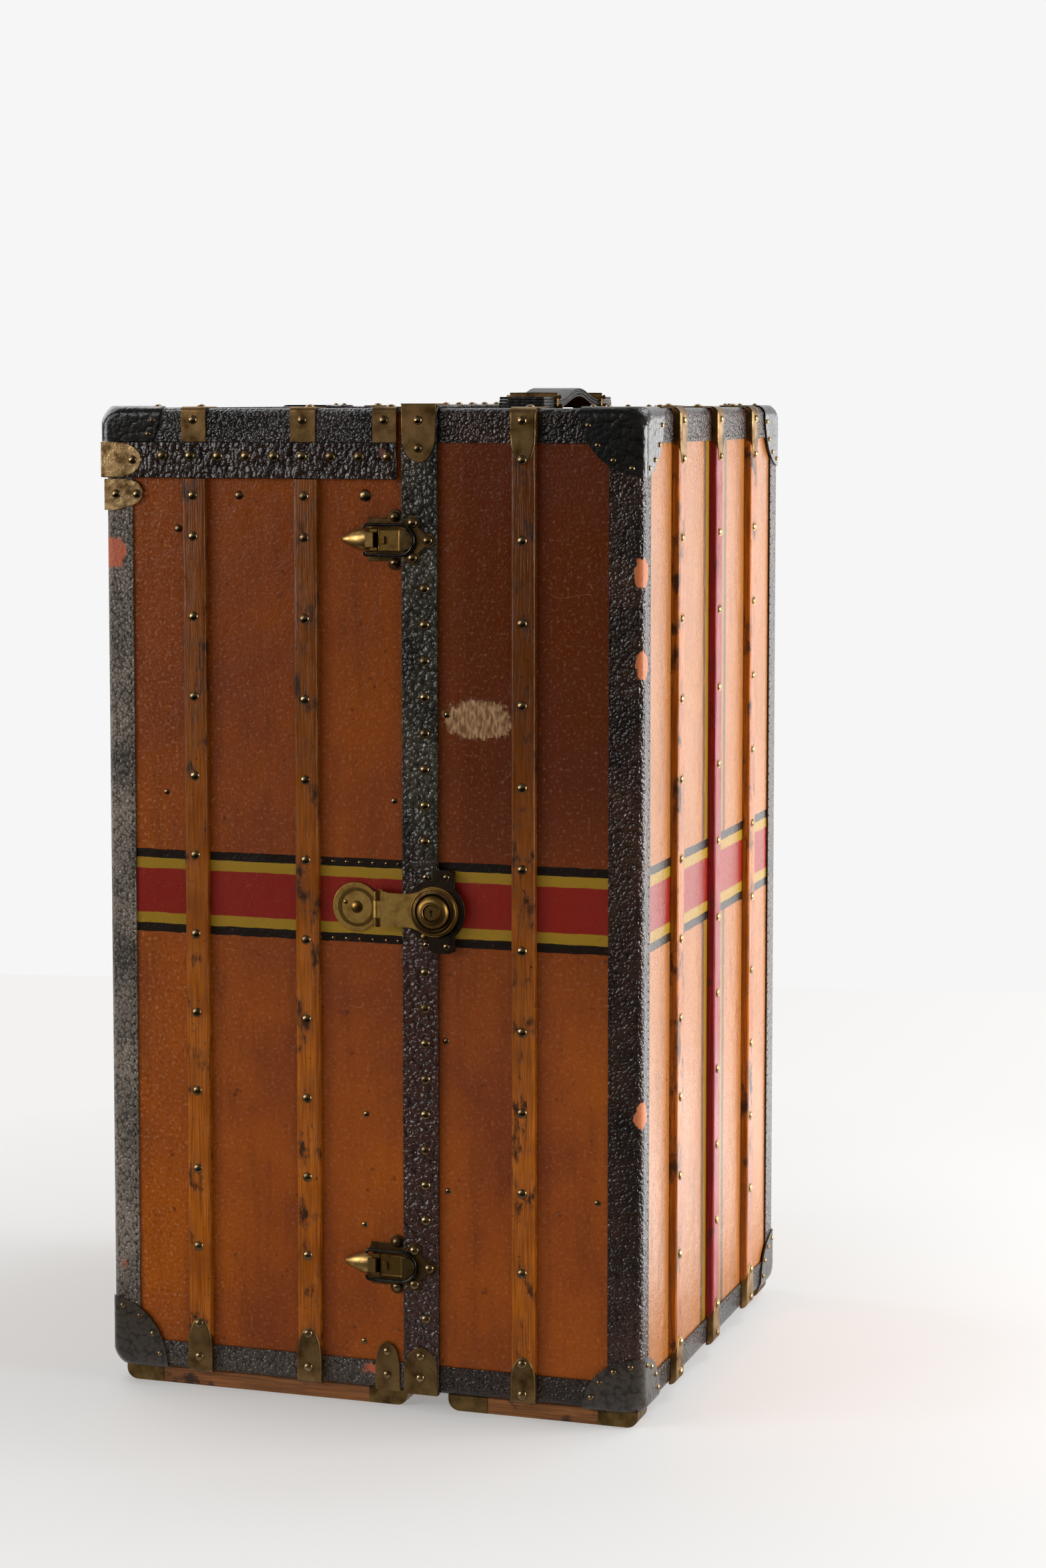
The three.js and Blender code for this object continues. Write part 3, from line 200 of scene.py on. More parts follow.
def new_object(name, form):
    """Closes a bmesh and puts it into the scene as an object."""
    mesh = bpy.data.meshes.new(name)
    form.to_mesh(mesh)
    form.free()
    made = bpy.data.objects.new(name, mesh)
    bpy.context.collection.objects.link(made)
    return made


def studio_floor_paint():
    material, tree, shader, place = new_material("pale_painted_floor", 0.6)
    shader.inputs["Base Color"].default_value = linear("#f6f5f3")
    shader.inputs["Specular IOR Level"].default_value = 0.2
    path = add_node(tree, "ShaderNodeLightPath").outputs
    axes = add_node(tree, "ShaderNodeSeparateXYZ", {0: place}).outputs
    behind = ramp(tree, axes[1], -0.7, 0.1)
    mirrored = calc(tree, "MAXIMUM", path["Is Glossy Ray"], path["Is Transmission Ray"])
    straight = calc(tree, "MULTIPLY", axes[1], math.cos(PAPER_TURN))
    reach = calc(tree, "MULTIPLY_ADD", axes[0], -math.sin(PAPER_TURN), straight)
    beyond = calc(tree, "GREATER_THAN", reach, PAPER_REACH)
    away = add_node(tree, "ShaderNodeVectorMath", {0: place}, operation="LENGTH").outputs["Value"]
    seen = calc(tree, "MAXIMUM", ramp(tree, away, SHADOW_NEAR, SHADOW_FAR, 0.3, 1.0), beyond)
    share = calc(tree, "MULTIPLY_ADD", path["Is Camera Ray"], seen, mirrored)
    strength = calc(tree, "MULTIPLY_ADD", mirrored, behind, path["Is Camera Ray"])
    # The paper white is a little brighter to the right: painted light from the right-hand window.
    near_paper_painted_light_right = mix(tree, ramp(tree, axes[0], -0.4, 0.7), "#f3f2f0", "#fcfbfa")
    paper = mix(tree, beyond, near_paper_painted_light_right, "#f6f6f6")
    white = add_node(tree, "ShaderNodeEmission", {"Color": paper, "Strength": strength})
    mixed = add_node(tree, "ShaderNodeMixShader", {0: share, 1: shader.outputs[0], 2: white.outputs[0]})
    tree.links.new(mixed.outputs[0], tree.nodes["Material Output"].inputs["Surface"])
    return material


plane = bmesh.new()
bmesh.ops.create_grid(plane, x_segments=1, y_segments=1, size=40)
floor = new_object("floor", plane)
floor.data.materials.append(studio_floor_paint())
floor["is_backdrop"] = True
print("floor", len(floor.data.polygons), "face")

# %% White surround
world = bpy.data.worlds.new("studio")
bpy.context.scene.world = world
world.use_nodes = True
tree = world.node_tree
path = add_node(tree, "ShaderNodeLightPath").outputs
heading = add_node(tree, "ShaderNodeTexCoord").outputs["Generated"]
towards = add_node(tree, "ShaderNodeSeparateXYZ", {0: heading}).outputs
mirrored = calc(tree, "MAXIMUM", path["Is Glossy Ray"], path["Is Transmission Ray"])
mirrored = calc(tree, "MULTIPLY", mirrored, ramp(tree, towards[1], 0.0, 0.3))
shown = calc(tree, "MAXIMUM", mirrored, path["Is Camera Ray"])
tree.nodes["Background"].inputs["Color"].default_value = linear("#f6f6f6")
tree.links.new(ramp(tree, shown, 0.0, 1.0, 0.12, 1.0), tree.nodes["Background"].inputs["Strength"])
bpy.context.scene.view_settings.view_transform = "Standard"
print("world", world.name, "with", len(tree.nodes), "nodes")

# %% [markdown]
# A large soft window on the right makes the bright flank of the trunk, and a weak one behind it and a
# glow off the floor beside it carry that light round the rear edge. A window and a lamp at the front
# left draw the small highlights on nails and leather. Two skylights brighten the floor on both sides.
# The last lamp stands for light that the floor in front throws back, so it isn't mirrored by itself.

# %% Lights
def soft_light(name, place, aim, size, power):
    data = bpy.data.lights.new(name, "AREA")
    data.shape = "RECTANGLE"
    data.size, data.size_y = size
    data.energy = power
    lamp = bpy.data.objects.new(name, data)
    bpy.context.collection.objects.link(lamp)
    lamp.location = place
    lamp.rotation_euler = (Vector(aim) - Vector(place)).to_track_quat("-Z", "Y").to_euler()
    lamp.visible_camera = False
    return lamp


soft_light("window_right", (3.3, 0.35, 0.95), (0.3, 0, 0.45), (2.4, 1.8), 158)
soft_light("window_rear", (1.2, 1.5, 0.62), (0.32, 0, 0.4), (1.5, 1.1), 9.5)
soft_light("floor_glow", (0.9, 1.0, 0.012), (0.9, 1.0, 1.0), (0.9, 1.7), 12)
soft_light("skylight_rear", (1.35, 0.9, 2.7), (1.35, 0.9, 0), (0.9, 1.4), 14)
soft_light("window_left", (-4.2, -2.9, 1.5), (-0.1, 0, 0.6), (1.7, 2.2), 88)
soft_light("lamp_front", (-2.6, -3.9, 2.5), (-0.1, 0, 0.75), (1.3, 1.3), 26)
soft_light("skylight_left", (-1.35, 0.3, 1.7), (-0.8, 0.0, 0), (1.2, 1.6), 13)
bounce = soft_light("floor_bounce", (0.1, -1.5, 0.03), (0.0, -0.4, 0.45), (2.6, 0.9), 9)
bounce.visible_glossy = False
print("lamps", len(bpy.data.lights))

# %% [markdown]
# ## Canvas
# The cover is cotton canvas, glued on, painted and varnished many times. It is brown-orange, darker
# where dirt has been and with painted shade high up, and its owner had a broad stripe painted round it.
# The weave is finer than the picture shows, so its threads are drawn 1.6 mm apart instead of 0.7 mm.

# %% Helpers for relief and patches
def bumped(tree, shader, height, depth_mm, strength=1.0):
    bump = add_node(tree, "ShaderNodeBump", {"Height": height, "Distance": depth_mm / 1000,
                                             "Strength": strength})
    tree.links.new(bump.outputs[0], shader.inputs["Normal"])


def patch(tree, place, centre, size, ragged):
    """A worn spot with a ragged edge. Centre and half sizes are in the trunk's millimetres."""
    spot = [(c + s) / 1000 for c, s in zip(centre, SHIFT)]
    moved = add_node(tree, "ShaderNodeVectorMath", {0: place, 1: spot}, operation="SUBTRACT").outputs[0]
    shares = [1000 / s for s in size]
    scaled = add_node(tree, "ShaderNodeVectorMath", {0: moved, 1: shares}, operation="MULTIPLY").outputs[0]
    length = add_node(tree, "ShaderNodeVectorMath", {0: scaled}, operation="LENGTH").outputs["Value"]
    edge = calc(tree, "MULTIPLY_ADD", ragged, 1.6, length)
    return ramp(tree, edge, 1.9, 1.76)


# %% Lining check and painted stripe, in metres
THREAD, CHECK = 0.0016, 0.018
STRIPE_MIDDLE, STRIPE_REACHES = 0.5782, (0.0478, 0.0378, 0.0256)
FLANK_MIDDLE, FLANK_REACHES = 0.006, (0.053, 0.042, 0.029)


def check_cloth(tree, place):
    """The colour of the lining: a small woven check, a little faded."""
    axes = add_node(tree, "ShaderNodeSeparateXYZ", {0: place}).outputs
    waves = [calc(tree, "SINE", calc(tree, "MULTIPLY", axes[i], 2 * math.pi / CHECK)) for i in range(3)]
    summed = calc(tree, "ADD", calc(tree, "ADD", waves[0], waves[1]), waves[2])
    crossing = ramp(tree, summed, 0.9, 1.4, 0.0, 0.5)
    return mix(tree, noise(tree, place, 8.0, 4.0), mix(tree, crossing, "#b49a70", "#7d6542"), "#8f7850")


def stripe_layers(tree, base, across, reaches, worn):
    """Paints black, then ochre, then red over the base where a line's distance is small enough."""
    colour, distance = base, calc(tree, "ABSOLUTE", across)
    for reach, paint in zip(reaches, ("#12100c", "#8d6c10", "#7a0c06")):
        share = calc(tree, "MULTIPLY", calc(tree, "LESS_THAN", distance, reach), worn)
        colour = mix(tree, share, colour, paint)
    return colour


# %% [markdown]
# The ground is two browns in clouds. It is darker high up and at the upper right of the front,
# which is painted shade, and paler on the right flank, which is a painted sheen.

# %% Ground of the varnished canvas
FLANK_FROM, FRONT_FROM = 0.312, -0.28
canvas, tree, shader, place = new_material("varnished_coated_canvas", 0.3)
shader.inputs["Specular IOR Level"].default_value = 0.25
axes = add_node(tree, "ShaderNodeSeparateXYZ", {0: place}).outputs
cloudy = noise(tree, place, 5.5, 5.0, 0.6)
ground = mix(tree, ramp(tree, cloudy, 0.34, 0.68), "#773202", "#974a04")
# Darker towards the top: painted shade.
aged_and_painted_light = mix(tree, ramp(tree, axes[2], 0.25, 1.0, 0.0, 0.5), ground, "#662a02")
on_flank = calc(tree, "GREATER_THAN", calc(tree, "ABSOLUTE", axes[0]), FLANK_FROM)
# The right flank is paler: a painted sheen, as the bright window on that side gives.
painted_flank_sheen = calc(tree, "GREATER_THAN", axes[0], FLANK_FROM)
aged_and_painted_light = mix(tree, calc(tree, "MULTIPLY", painted_flank_sheen, 0.7), aged_and_painted_light, "#9a6430")
# Darkest at the front's upper right: painted shade.
painted_front_shade = calc(tree, "MULTIPLY", ramp(tree, axes[0], 0.02, 0.12), ramp(tree, axes[2], 0.45, 0.72))
painted_front_shade = calc(tree, "MULTIPLY", painted_front_shade, calc(tree, "LESS_THAN", axes[1], FRONT_FROM))
aged_and_painted_light = mix(tree, calc(tree, "MULTIPLY", painted_front_shade, 0.85), aged_and_painted_light, "#4c1a00")

# %% [markdown]
# Wear comes next. Dirt has run down in streaks, specks are dark or pale, and a few scratches are as
# thin as a hair. The tops of the weave get painted glints, most at the left, and its hollows painted
# shade, and at one place of the front the cover is torn, so that its threads show.

# %% Wear of the canvas
streaks = noise(tree, place, 60.0, 4.0, 0.5, (1, 1, 0.12))
stained = mix(tree, ramp(tree, streaks, 0.5, 0.82, 0.0, 0.4), aged_and_painted_light, "#4c220a")
dots = noise(tree, place, 95.0, 2.0)
spotted = mix(tree, ramp(tree, dots, 0.7, 0.77, 0.0, 0.6), stained, "#3a1a0a")
pale_marks = calc(tree, "MULTIPLY", ramp(tree, noise(tree, place, 210.0, 2.0), 0.74, 0.78),
                  ramp(tree, noise(tree, place, 7.0, 2.0), 0.5, 0.6))
marked = mix(tree, calc(tree, "MULTIPLY", pale_marks, 0.6), spotted, "#c08a5a")
line = calc(tree, "ABSOLUTE", calc(tree, "ADD", noise(tree, place, 6.5, 2.5, 0.45), -0.5))
thin = calc(tree, "MULTIPLY", ramp(tree, line, 0.0008, 0.0003),
            ramp(tree, noise(tree, place, 21.0, 1.0), 0.63, 0.67))
scratched = mix(tree, calc(tree, "MULTIPLY", thin, 0.4), marked, "#b5804f")
# Pale tops of the weave are painted glints, strongest at the left, and its dark hollows are painted shade.
grain = noise(tree, place, 250.0, 3.0, 0.6)
glint_share_leftward = ramp(tree, axes[0], -0.14, -0.3, 0.42, 1.0)
painted_glint_tops = calc(tree, "MULTIPLY", ramp(tree, grain, 0.56, 0.68, 0.0, 0.34), glint_share_leftward)
painted_shade_hollows = calc(tree, "MULTIPLY", ramp(tree, grain, 0.44, 0.34, 0.0, 0.5), glint_share_leftward)
grain_with_painted_light = mix(tree, painted_shade_hollows, mix(tree, painted_glint_tops, scratched, "#c49a78"), "#3c1604")
chipped = noise(tree, place, 120.0, 4.0, 0.7)
torn = patch(tree, place, (128, -302, 786), (38, 30, 21), chipped)
threads = ramp(tree, noise(tree, place, 260.0, 2.0, 0.5, (1, 1, 0.35)), 0.4, 0.62)
worn_cover = mix(tree, torn, grain_with_painted_light, mix(tree, threads, "#6d4a2c", "#a5815c"))
print("canvas so far", len(tree.nodes), "nodes")

# %% Painted stripe round the case
wobble = calc(tree, "MULTIPLY_ADD", noise(tree, place, 55.0, 3.0), 0.0024, -0.0012)
worn = ramp(tree, chipped, 0.69, 0.63, 0.2, 0.97)
height_off = calc(tree, "ADD", calc(tree, "ADD", axes[2], -STRIPE_MIDDLE), wobble)
flank_off = calc(tree, "ADD", calc(tree, "ADD", axes[1], -FLANK_MIDDLE - SHIFT.y / 1000), wobble)
flank_worn = calc(tree, "MULTIPLY", calc(tree, "MULTIPLY", on_flank, worn), 0.7)
upright = stripe_layers(tree, worn_cover, flank_off, FLANK_REACHES, flank_worn)
painted = stripe_layers(tree, upright, height_off, STRIPE_REACHES, worn)
print("stripe at", STRIPE_MIDDLE, "m, red half", STRIPE_REACHES[-1], "m")

# %% [markdown]
# The same board is lined inside. A point belongs to the outside where it is farther from the middle of
# the case than the boards' inner faces, so one material does for both sides. The varnish is glossy
# outside only, and the relief joins the weave, small pebbles and slow dents.

# %% Inner faces, relief and varnish
WALL = 4
outside = 0.0
for axis, (start, end) in enumerate(((LEFT, RIGHT), (FRONT, BACK), (BASE, HEIGHT))):
    middle, half = (start + end) / 2, (end - start) / 2
    offset = calc(tree, "ABSOLUTE", calc(tree, "ADD", axes[axis], -(middle + SHIFT[axis]) / 1000))
    beyond = calc(tree, "GREATER_THAN", offset, (half - CANVAS - WALL) / 1000)
    outside = calc(tree, "MAXIMUM", outside, beyond)
tree.links.new(mix(tree, outside, check_cloth(tree, place), painted), shader.inputs["Base Color"])
along = calc(tree, "ADD", axes[0], axes[1])
warp = calc(tree, "SINE", calc(tree, "MULTIPLY", along, 2 * math.pi / THREAD))
weft = calc(tree, "SINE", calc(tree, "MULTIPLY", axes[2], 2 * math.pi / THREAD))
weave = calc(tree, "MULTIPLY", warp, weft)
cells = add_node(tree, "ShaderNodeTexVoronoi", {"Vector": place, "Scale": 380.0}).outputs[0]
fine = noise(tree, place, 330.0, 2.0, 0.6)
pebbles = calc(tree, "MULTIPLY_ADD", calc(tree, "MULTIPLY", cells, cells), -0.55, fine)
relief = calc(tree, "MULTIPLY_ADD", weave, 0.04, pebbles)
relief = calc(tree, "MULTIPLY_ADD", noise(tree, place, 45.0, 2.0), 3.4, relief)
relief = calc(tree, "MULTIPLY_ADD", torn, calc(tree, "MULTIPLY", chipped, 2.0), relief)
bumped(tree, shader, relief, 0.45, 0.9)
varnish = ramp(tree, cloudy, 0.3, 0.7, -0.5, -0.62)
tree.links.new(calc(tree, "MULTIPLY_ADD", outside, varnish, 0.86), shader.inputs["Roughness"])


def dress(names, material):
    """Gives the frame's own pieces a finish in place of their plain one."""
    for name in names:
        mesh = frame["nodes"][name].data
        mesh.materials.clear()
        mesh.materials.append(material)
    print(material.name, "on", *names)


dress(("drawer_shell", "hanging_shell", "lid_shell"), canvas)

# %% [markdown]
# ## Leather
# The binding is thick cowhide, once dark brown, waxed and handled until it went nearly black. Age has
# drawn it into fine wrinkles that catch the light, and where it is rubbed through, the red-brown
# flesh side shows. One recipe with other colours serves the binding, the band, the lid's edge and
# skirt, the caps and the handle.

# %% Leather recipe
def leather(name, dark, mid, rubbed, roughness, wrinkle_mm, depth_mm, rub_share, spots=(), lower=None,
            turn=(0.66, 0.5), pull=(1, 1, 1)):
    """Wrinkled hide. Spots are torn places, and lower is the colour that it has below the heights in turn,
    such as below the lock. On the lower caps this paler colour is painted light from the floor.
    """
    material, tree, shader, place = new_material(name, roughness)
    drift = noise(tree, place, 14.0, 4.0)
    hide = mix(tree, ramp(tree, drift, 0.35, 0.65), dark, mid)
    if lower:
        below = ramp(tree, add_node(tree, "ShaderNodeSeparateXYZ", {0: place}).outputs[2], *turn)
        hide = mix(tree, below, hide, lower)
    bend = add_node(tree, "ShaderNodeTexNoise", {"Vector": place, "Scale": 120.0, "Detail": 2.0}).outputs
    bent = add_node(tree, "ShaderNodeVectorMath", {0: bend["Color"], "Scale": 0.007}, operation="SCALE")
    moved = add_node(tree, "ShaderNodeVectorMath", {0: place, 1: bent.outputs[0]}, operation="ADD")
    drawn = add_node(tree, "ShaderNodeMapping", {"Vector": moved.outputs[0], "Scale": pull}).outputs[0]
    cells = add_node(tree, "ShaderNodeTexVoronoi", {"Vector": drawn, "Scale": 1000 / wrinkle_mm}).outputs[0]
    relief = calc(tree, "MULTIPLY", calc(tree, "MULTIPLY", cells, cells), -1.6)
    relief = calc(tree, "MULTIPLY_ADD", noise(tree, place, 2200 / wrinkle_mm, 2.0), 0.45, relief)
    relief = calc(tree, "MULTIPLY_ADD", noise(tree, place, 350 / wrinkle_mm, 2.0), 1.6, relief)
    ragged = noise(tree, place, 90.0, 3.0)
    bare = ramp(tree, noise(tree, place, 11.0, 6.0, 0.55), rub_share, rub_share + 0.02)
    for centre, size in spots:
        bare = calc(tree, "MAXIMUM", bare, patch(tree, place, centre, size, ragged))
    cracks = mix(tree, ramp(tree, cells, 0.5, 0.75, 0.0, 0.6), hide, "#060403")
    tree.links.new(mix(tree, bare, cracks, rubbed), shader.inputs["Base Color"])
    bumped(tree, shader, relief, depth_mm, ramp(tree, bare, 0.0, 1.0, 1.0, 0.25))
    sheen = ramp(tree, drift, 0.3, 0.7, roughness + 0.1, roughness - 0.06)
    tree.links.new(calc(tree, "MULTIPLY_ADD", bare, 0.3, sheen), shader.inputs["Roughness"])
    return material


# After the colours: roughness, size of a wrinkle and its depth in mm, and how rarely it is rubbed bare.
EDGE_SPOTS = (((317, -302, 953), (9, 12, 17)), ((318, -303, 851), (8, 12, 17)),
              ((318, -303, 353), (7, 12, 15)))
binding_leather = leather("waxed_cowhide_binding", "#170e08", "#38241a", "#b06030", 0.2, 4.0, 0.8, 0.7,
                          EDGE_SPOTS)
# The pale grey of this binding is dry crackled hide and partly a painted sheen from the lamps at the left,
# darker at its foot.
dry_leather_with_painted_sheen = leather("dry_cowhide_binding_with_painted_sheen", "#453d35", "#7a6e62", "#a84e28", 0.2, 4.0, 1.4, 0.71,
                      (((-309, -305, 967), (14, 20, 19)),), "#40352c", (0.13, 0.07))
band_leather = leather("crackled_cowhide_band", "#1e1b14", "#423c30", "#5a3024", 0.16, 6.0, 1.8, 0.7,
                       lower="#38211a")
skirt_leather = leather("wrinkled_cowhide_skirt", "#140e0c", "#30231d", "#5a2c20", 0.15, 5.5, 1.5, 0.69,
                        pull=(1, 1, 0.55))
# The lower caps take a paler colour: painted light from the floor.
cap_leather = leather("moulded_hide_cap", "#080706", "#1c1916", "#3a2a20", 0.22, 6.5, 0.28, 0.78, (),
                      "#3a322b", (0.6, 0.3))
edge_leather = leather("pebbled_cowhide_lid_edge", "#1a1513", "#393230", "#5a2c20", 0.16, 3.6, 0.95, 0.72)
handle_leather = leather("stacked_harness_leather", "#0c0b0a", "#1f1c19", "#4a2c22", 0.34, 7.0, 0.4, 0.68)

# %% [markdown]
# ## Brass
# Nails, clamps and latches are sheet and cast brass. Its yellow has gone brown in the hollows and
# stays bright only where things rub. The colour of a metal is its reflection, so the darkening is in
# the base colour and in the roughness.

# %% Aged brass
def aged_brass(name, bright, dull, roughness, patch_mm, dull_share, dents=0.12):
    material, tree, shader, place = new_material(name, roughness, metallic=1.0)
    cloud = noise(tree, place, 1000 / patch_mm, 4.0, 0.55)
    patina = ramp(tree, cloud, dull_share - 0.16, dull_share + 0.16)
    specks = ramp(tree, noise(tree, place, 420.0, 2.0), 0.66, 0.74, 0.0, 0.5)
    tree.links.new(mix(tree, specks, mix(tree, patina, dull, bright), "#241a10"), shader.inputs["Base Color"])
    polish = ramp(tree, patina, 0.0, 1.0, roughness + 0.14, roughness - 0.05)
    tree.links.new(polish, shader.inputs["Roughness"])
    relief = calc(tree, "MULTIPLY_ADD", noise(tree, place, 90.0, 2.0), 3.0, noise(tree, place, 800.0, 2.0))
    bumped(tree, shader, relief, dents, 0.6)
    return material


# After the colours: roughness, size of a dull patch in mm, its share, and the depth of dents in mm.
clamp_brass = aged_brass("aged_sheet_brass", "#94744a", "#50391f", 0.44, 22, 0.48)
bracket_brass = aged_brass("rubbed_corner_brass", "#c9a674", "#5e4628", 0.33, 13, 0.5, 0.45)
nose_brass = aged_brass("hand_polished_brass", "#cfa665", "#846235", 0.36, 12, 0.46)
nail_brass = aged_brass("worn_nail_brass", "#a88c64", "#5e4a30", 0.25, 8, 0.48, 0.05)
latch_brass = aged_brass("cast_brass", "#ac8546", "#6a4e28", 0.38, 16, 0.48, 0.08)
lock_brass = aged_brass("scratched_lock_brass", "#d8ac5c", "#94703a", 0.5, 14, 0.46, 0.15)
plate_brass = aged_brass("darkened_sheet_brass", "#80643c", "#46341e", 0.42, 16, 0.5)
hardware_iron = aged_brass("blackened_iron", "#54463a", "#2e251f", 0.4, 18, 0.5)
tack_iron = aged_brass("waxed_iron_tack", "#8d8479", "#4c443c", 0.2, 6, 0.5, 0.02)
wire_iron = aged_brass("blackened_steel_wire", "#5a5650", "#302d2a", 0.22, 20, 0.5)

# %% [markdown]
# ## Wood
# The slats are ash or elm, varnished honey brown. The grain runs their whole length as fine dark lines
# about 1.5 mm apart, and dirt has gathered in dark stains along them. The noise is stretched along the
# slat, so the same recipe turned on its side does for the runners.

# %% Varnished hardwood
def hardwood(name, pale, deep, stain, roughness, stretch, stain_share, front_shade_colour="#452004"):
    material, tree, shader, place = new_material(name, roughness)
    shader.inputs["Specular IOR Level"].default_value = 0.3
    lines = ramp(tree, noise(tree, place, 620.0, 4.0, 0.5, stretch), 0.36, 0.66)
    broad = noise(tree, place, 110.0, 3.0, 0.5, stretch)
    bands = calc(tree, "MULTIPLY_ADD", broad, 0.9, lines)
    grain = mix(tree, ramp(tree, bands, 0.25, 1.3), deep, pale)
    aged_and_painted_light = mix(tree, ramp(tree, noise(tree, place, 16.0, 4.0), 0.42, 0.66, 0.0, 0.6), grain, deep)
    marks = noise(tree, place, 42.0, 5.0, 0.7, [0.5 + 0.5 * s for s in stretch])
    axes = add_node(tree, "ShaderNodeSeparateXYZ", {0: place}).outputs
    # On the front the wood is darker higher up and towards the right: painted shade.
    in_front = calc(tree, "LESS_THAN", axes[1], FRONT_FROM)
    painted_front_shade = calc(tree, "MULTIPLY", ramp(tree, axes[2], 0.35, 0.8), in_front)
    painted_front_shade = calc(tree, "MULTIPLY", painted_front_shade, ramp(tree, axes[0], -0.1, 0.18, 0.62, 0.85))
    aged_and_painted_light = mix(tree, painted_front_shade, aged_and_painted_light, front_shade_colour)
    dirty = mix(tree, ramp(tree, marks, stain_share, stain_share + 0.1, 0.0, 0.88), aged_and_painted_light, stain)
    pricks = ramp(tree, noise(tree, place, 170.0, 2.0), 0.7, 0.75, 0.0, 0.7)
    tree.links.new(mix(tree, pricks, dirty, stain), shader.inputs["Base Color"])
    relief = calc(tree, "MULTIPLY_ADD", noise(tree, place, 30.0, 2.0), 3.0, bands)
    bumped(tree, shader, relief, 0.35, 0.6)
    dulled = ramp(tree, marks, 0.4, 0.7, roughness - 0.06, roughness + 0.16)
    tree.links.new(dulled, shader.inputs["Roughness"])
    return material


# After the colours: roughness, how the grain is stretched on each axis, and how rare the stains are.
slat_wood = hardwood("varnished_ash_slat", "#ac5e12", "#743804", "#1a0c05", 0.24, (1, 1, 0.03), 0.535)
red_slat_wood = hardwood("red_painted_slat", "#8c181c", "#6a1013", "#3a1a10", 0.32, (1, 1, 0.03), 0.62)
runner_wood = hardwood("stained_oak_runner", "#90582a", "#5c3618", "#1c120b", 0.5, (0.03, 1, 1), 0.55)
hanger_wood = hardwood("varnished_beech_hanger", "#b07a40", "#8c5a2a", "#4a2c16", 0.35, (1, 0.05, 1), 0.72)

# %% [markdown]
# ## Lining
# Inside, the boards are covered in a printed cotton in a small plain check. It is matt, a little
# faded, and its threads are about half a millimetre thick, drawn 1.2 mm apart so that they show.

# %% Woven lining cloth
lining, tree, shader, place = new_material("woven_cotton_lining", 0.85)
tree.links.new(check_cloth(tree, place), shader.inputs["Base Color"])
bumped(tree, shader, noise(tree, place, 820.0, 2.0), 0.3, 0.6)

# %% [markdown]
# ## Making pieces
# Pieces are drawn in millimetres on a bmesh, on a face that looks at us with the canvas at depth 0,
# and then turned to whichever face of the trunk they belong to. The last helper closes a bmesh,
# moves it into the frame, gives it its finish and lets it ride on a part of the trunk.

# %% Places on the trunk
LIE_FLAT = Matrix.Rotation(math.radians(90), 4, "X")


def face(side, along, height=0.0):
    """A place on an upright face, whose outside is towards -Y before it is turned."""
    places = {"front": ((along, FRONT + CANVAS, height), 0), "back": ((along, BACK - CANVAS, height), 180),
              "right": ((RIGHT - CANVAS, along, height), 90), "left": ((LEFT + CANVAS, along, height), -90)}
    spot, degrees = places[side]
    return Matrix.Translation(spot) @ Matrix.Rotation(math.radians(degrees), 4, "Z")


def top_face(x, y, height):
    """A place on a level face, drawn with its outside towards -Y and turned to look up."""
    return Matrix.Translation((x, y, height)) @ Matrix.Rotation(math.radians(-90), 4, "X")


def stamp(target, template, matrix=Matrix.Identity(4)):
    """Adds a copy of one bmesh to another."""
    copy = bpy.data.meshes.new("copy")
    template.to_mesh(copy)
    copy.transform(matrix)
    target.from_mesh(copy)
    bpy.data.meshes.remove(copy)


def placed(form, *places):
    """A new bmesh with the form at each of the places."""
    bm = bmesh.new()
    for place in places:
        stamp(bm, form, place)
    return bm


# %% Simple forms and cuts
def box(bm, x, y, z, matrix=Matrix.Identity(4)):
    size = Matrix.Diagonal((x[1] - x[0], y[1] - y[0], z[1] - z[0], 1))
    middle = Matrix.Translation(((x[0] + x[1]) / 2, (y[0] + y[1]) / 2, (z[0] + z[1]) / 2))
    bmesh.ops.create_cube(bm, size=1, matrix=matrix @ middle @ size)


def rod(bm, radius, length, matrix, segments=24):
    bmesh.ops.create_cone(bm, cap_ends=True, segments=segments, radius1=radius, radius2=radius, depth=length,
                          matrix=matrix)


def outline_plate(bm, points, low, high):
    """A plate cut to an outline seen from the front, between two depths out from the canvas."""
    sheet = bm.faces.new([bm.verts.new((x, -low, z)) for x, z in points])
    grown = bmesh.ops.extrude_face_region(bm, geom=[sheet])["geom"]
    moved = [v for v in grown if isinstance(v, bmesh.types.BMVert)]
    bmesh.ops.translate(bm, verts=moved, vec=(0, low - high, 0))


def bevel_edges(bm, edges, width, segments=3):
    bmesh.ops.bevel(bm, geom=edges, offset=width, segments=segments, affect="EDGES", profile=0.5,
                    material=-1)


def runs(edge, axis):
    """Whether an edge of a box runs along an axis."""
    return abs(edge.verts[0].co[axis] - edge.verts[1].co[axis]) > 1


def cut_plane(bm, axis, value, drop=None):
    """Cuts straight across an axis, and drops what is above or below the cut where asked."""
    normal, spot = [0, 0, 0], [0, 0, 0]
    normal[axis], spot[axis] = 1, value
    bmesh.ops.bisect_plane(bm, geom=bm.verts[:] + bm.edges[:] + bm.faces[:], dist=0.001, plane_co=spot,
                           plane_no=normal, clear_outer=drop == "above", clear_inner=drop == "below")


# %% Finishing a piece
def finish(mesh, material, sharp):
    """One material, and smooth shading that breaks where the shape turns by more than an angle."""
    mesh.materials.clear()
    mesh.materials.append(material)
    mesh.polygons.foreach_set("use_smooth", [True] * len(mesh.polygons))
    mesh.set_sharp_from_angle(angle=math.radians(sharp))


def round_edges(piece, width, limit=30):
    rounding = piece.modifiers.new("rounding", "BEVEL")
    rounding.width, rounding.segments, rounding.limit_method = width / 1000, 2, "ANGLE"
    rounding.angle_limit = math.radians(limit)


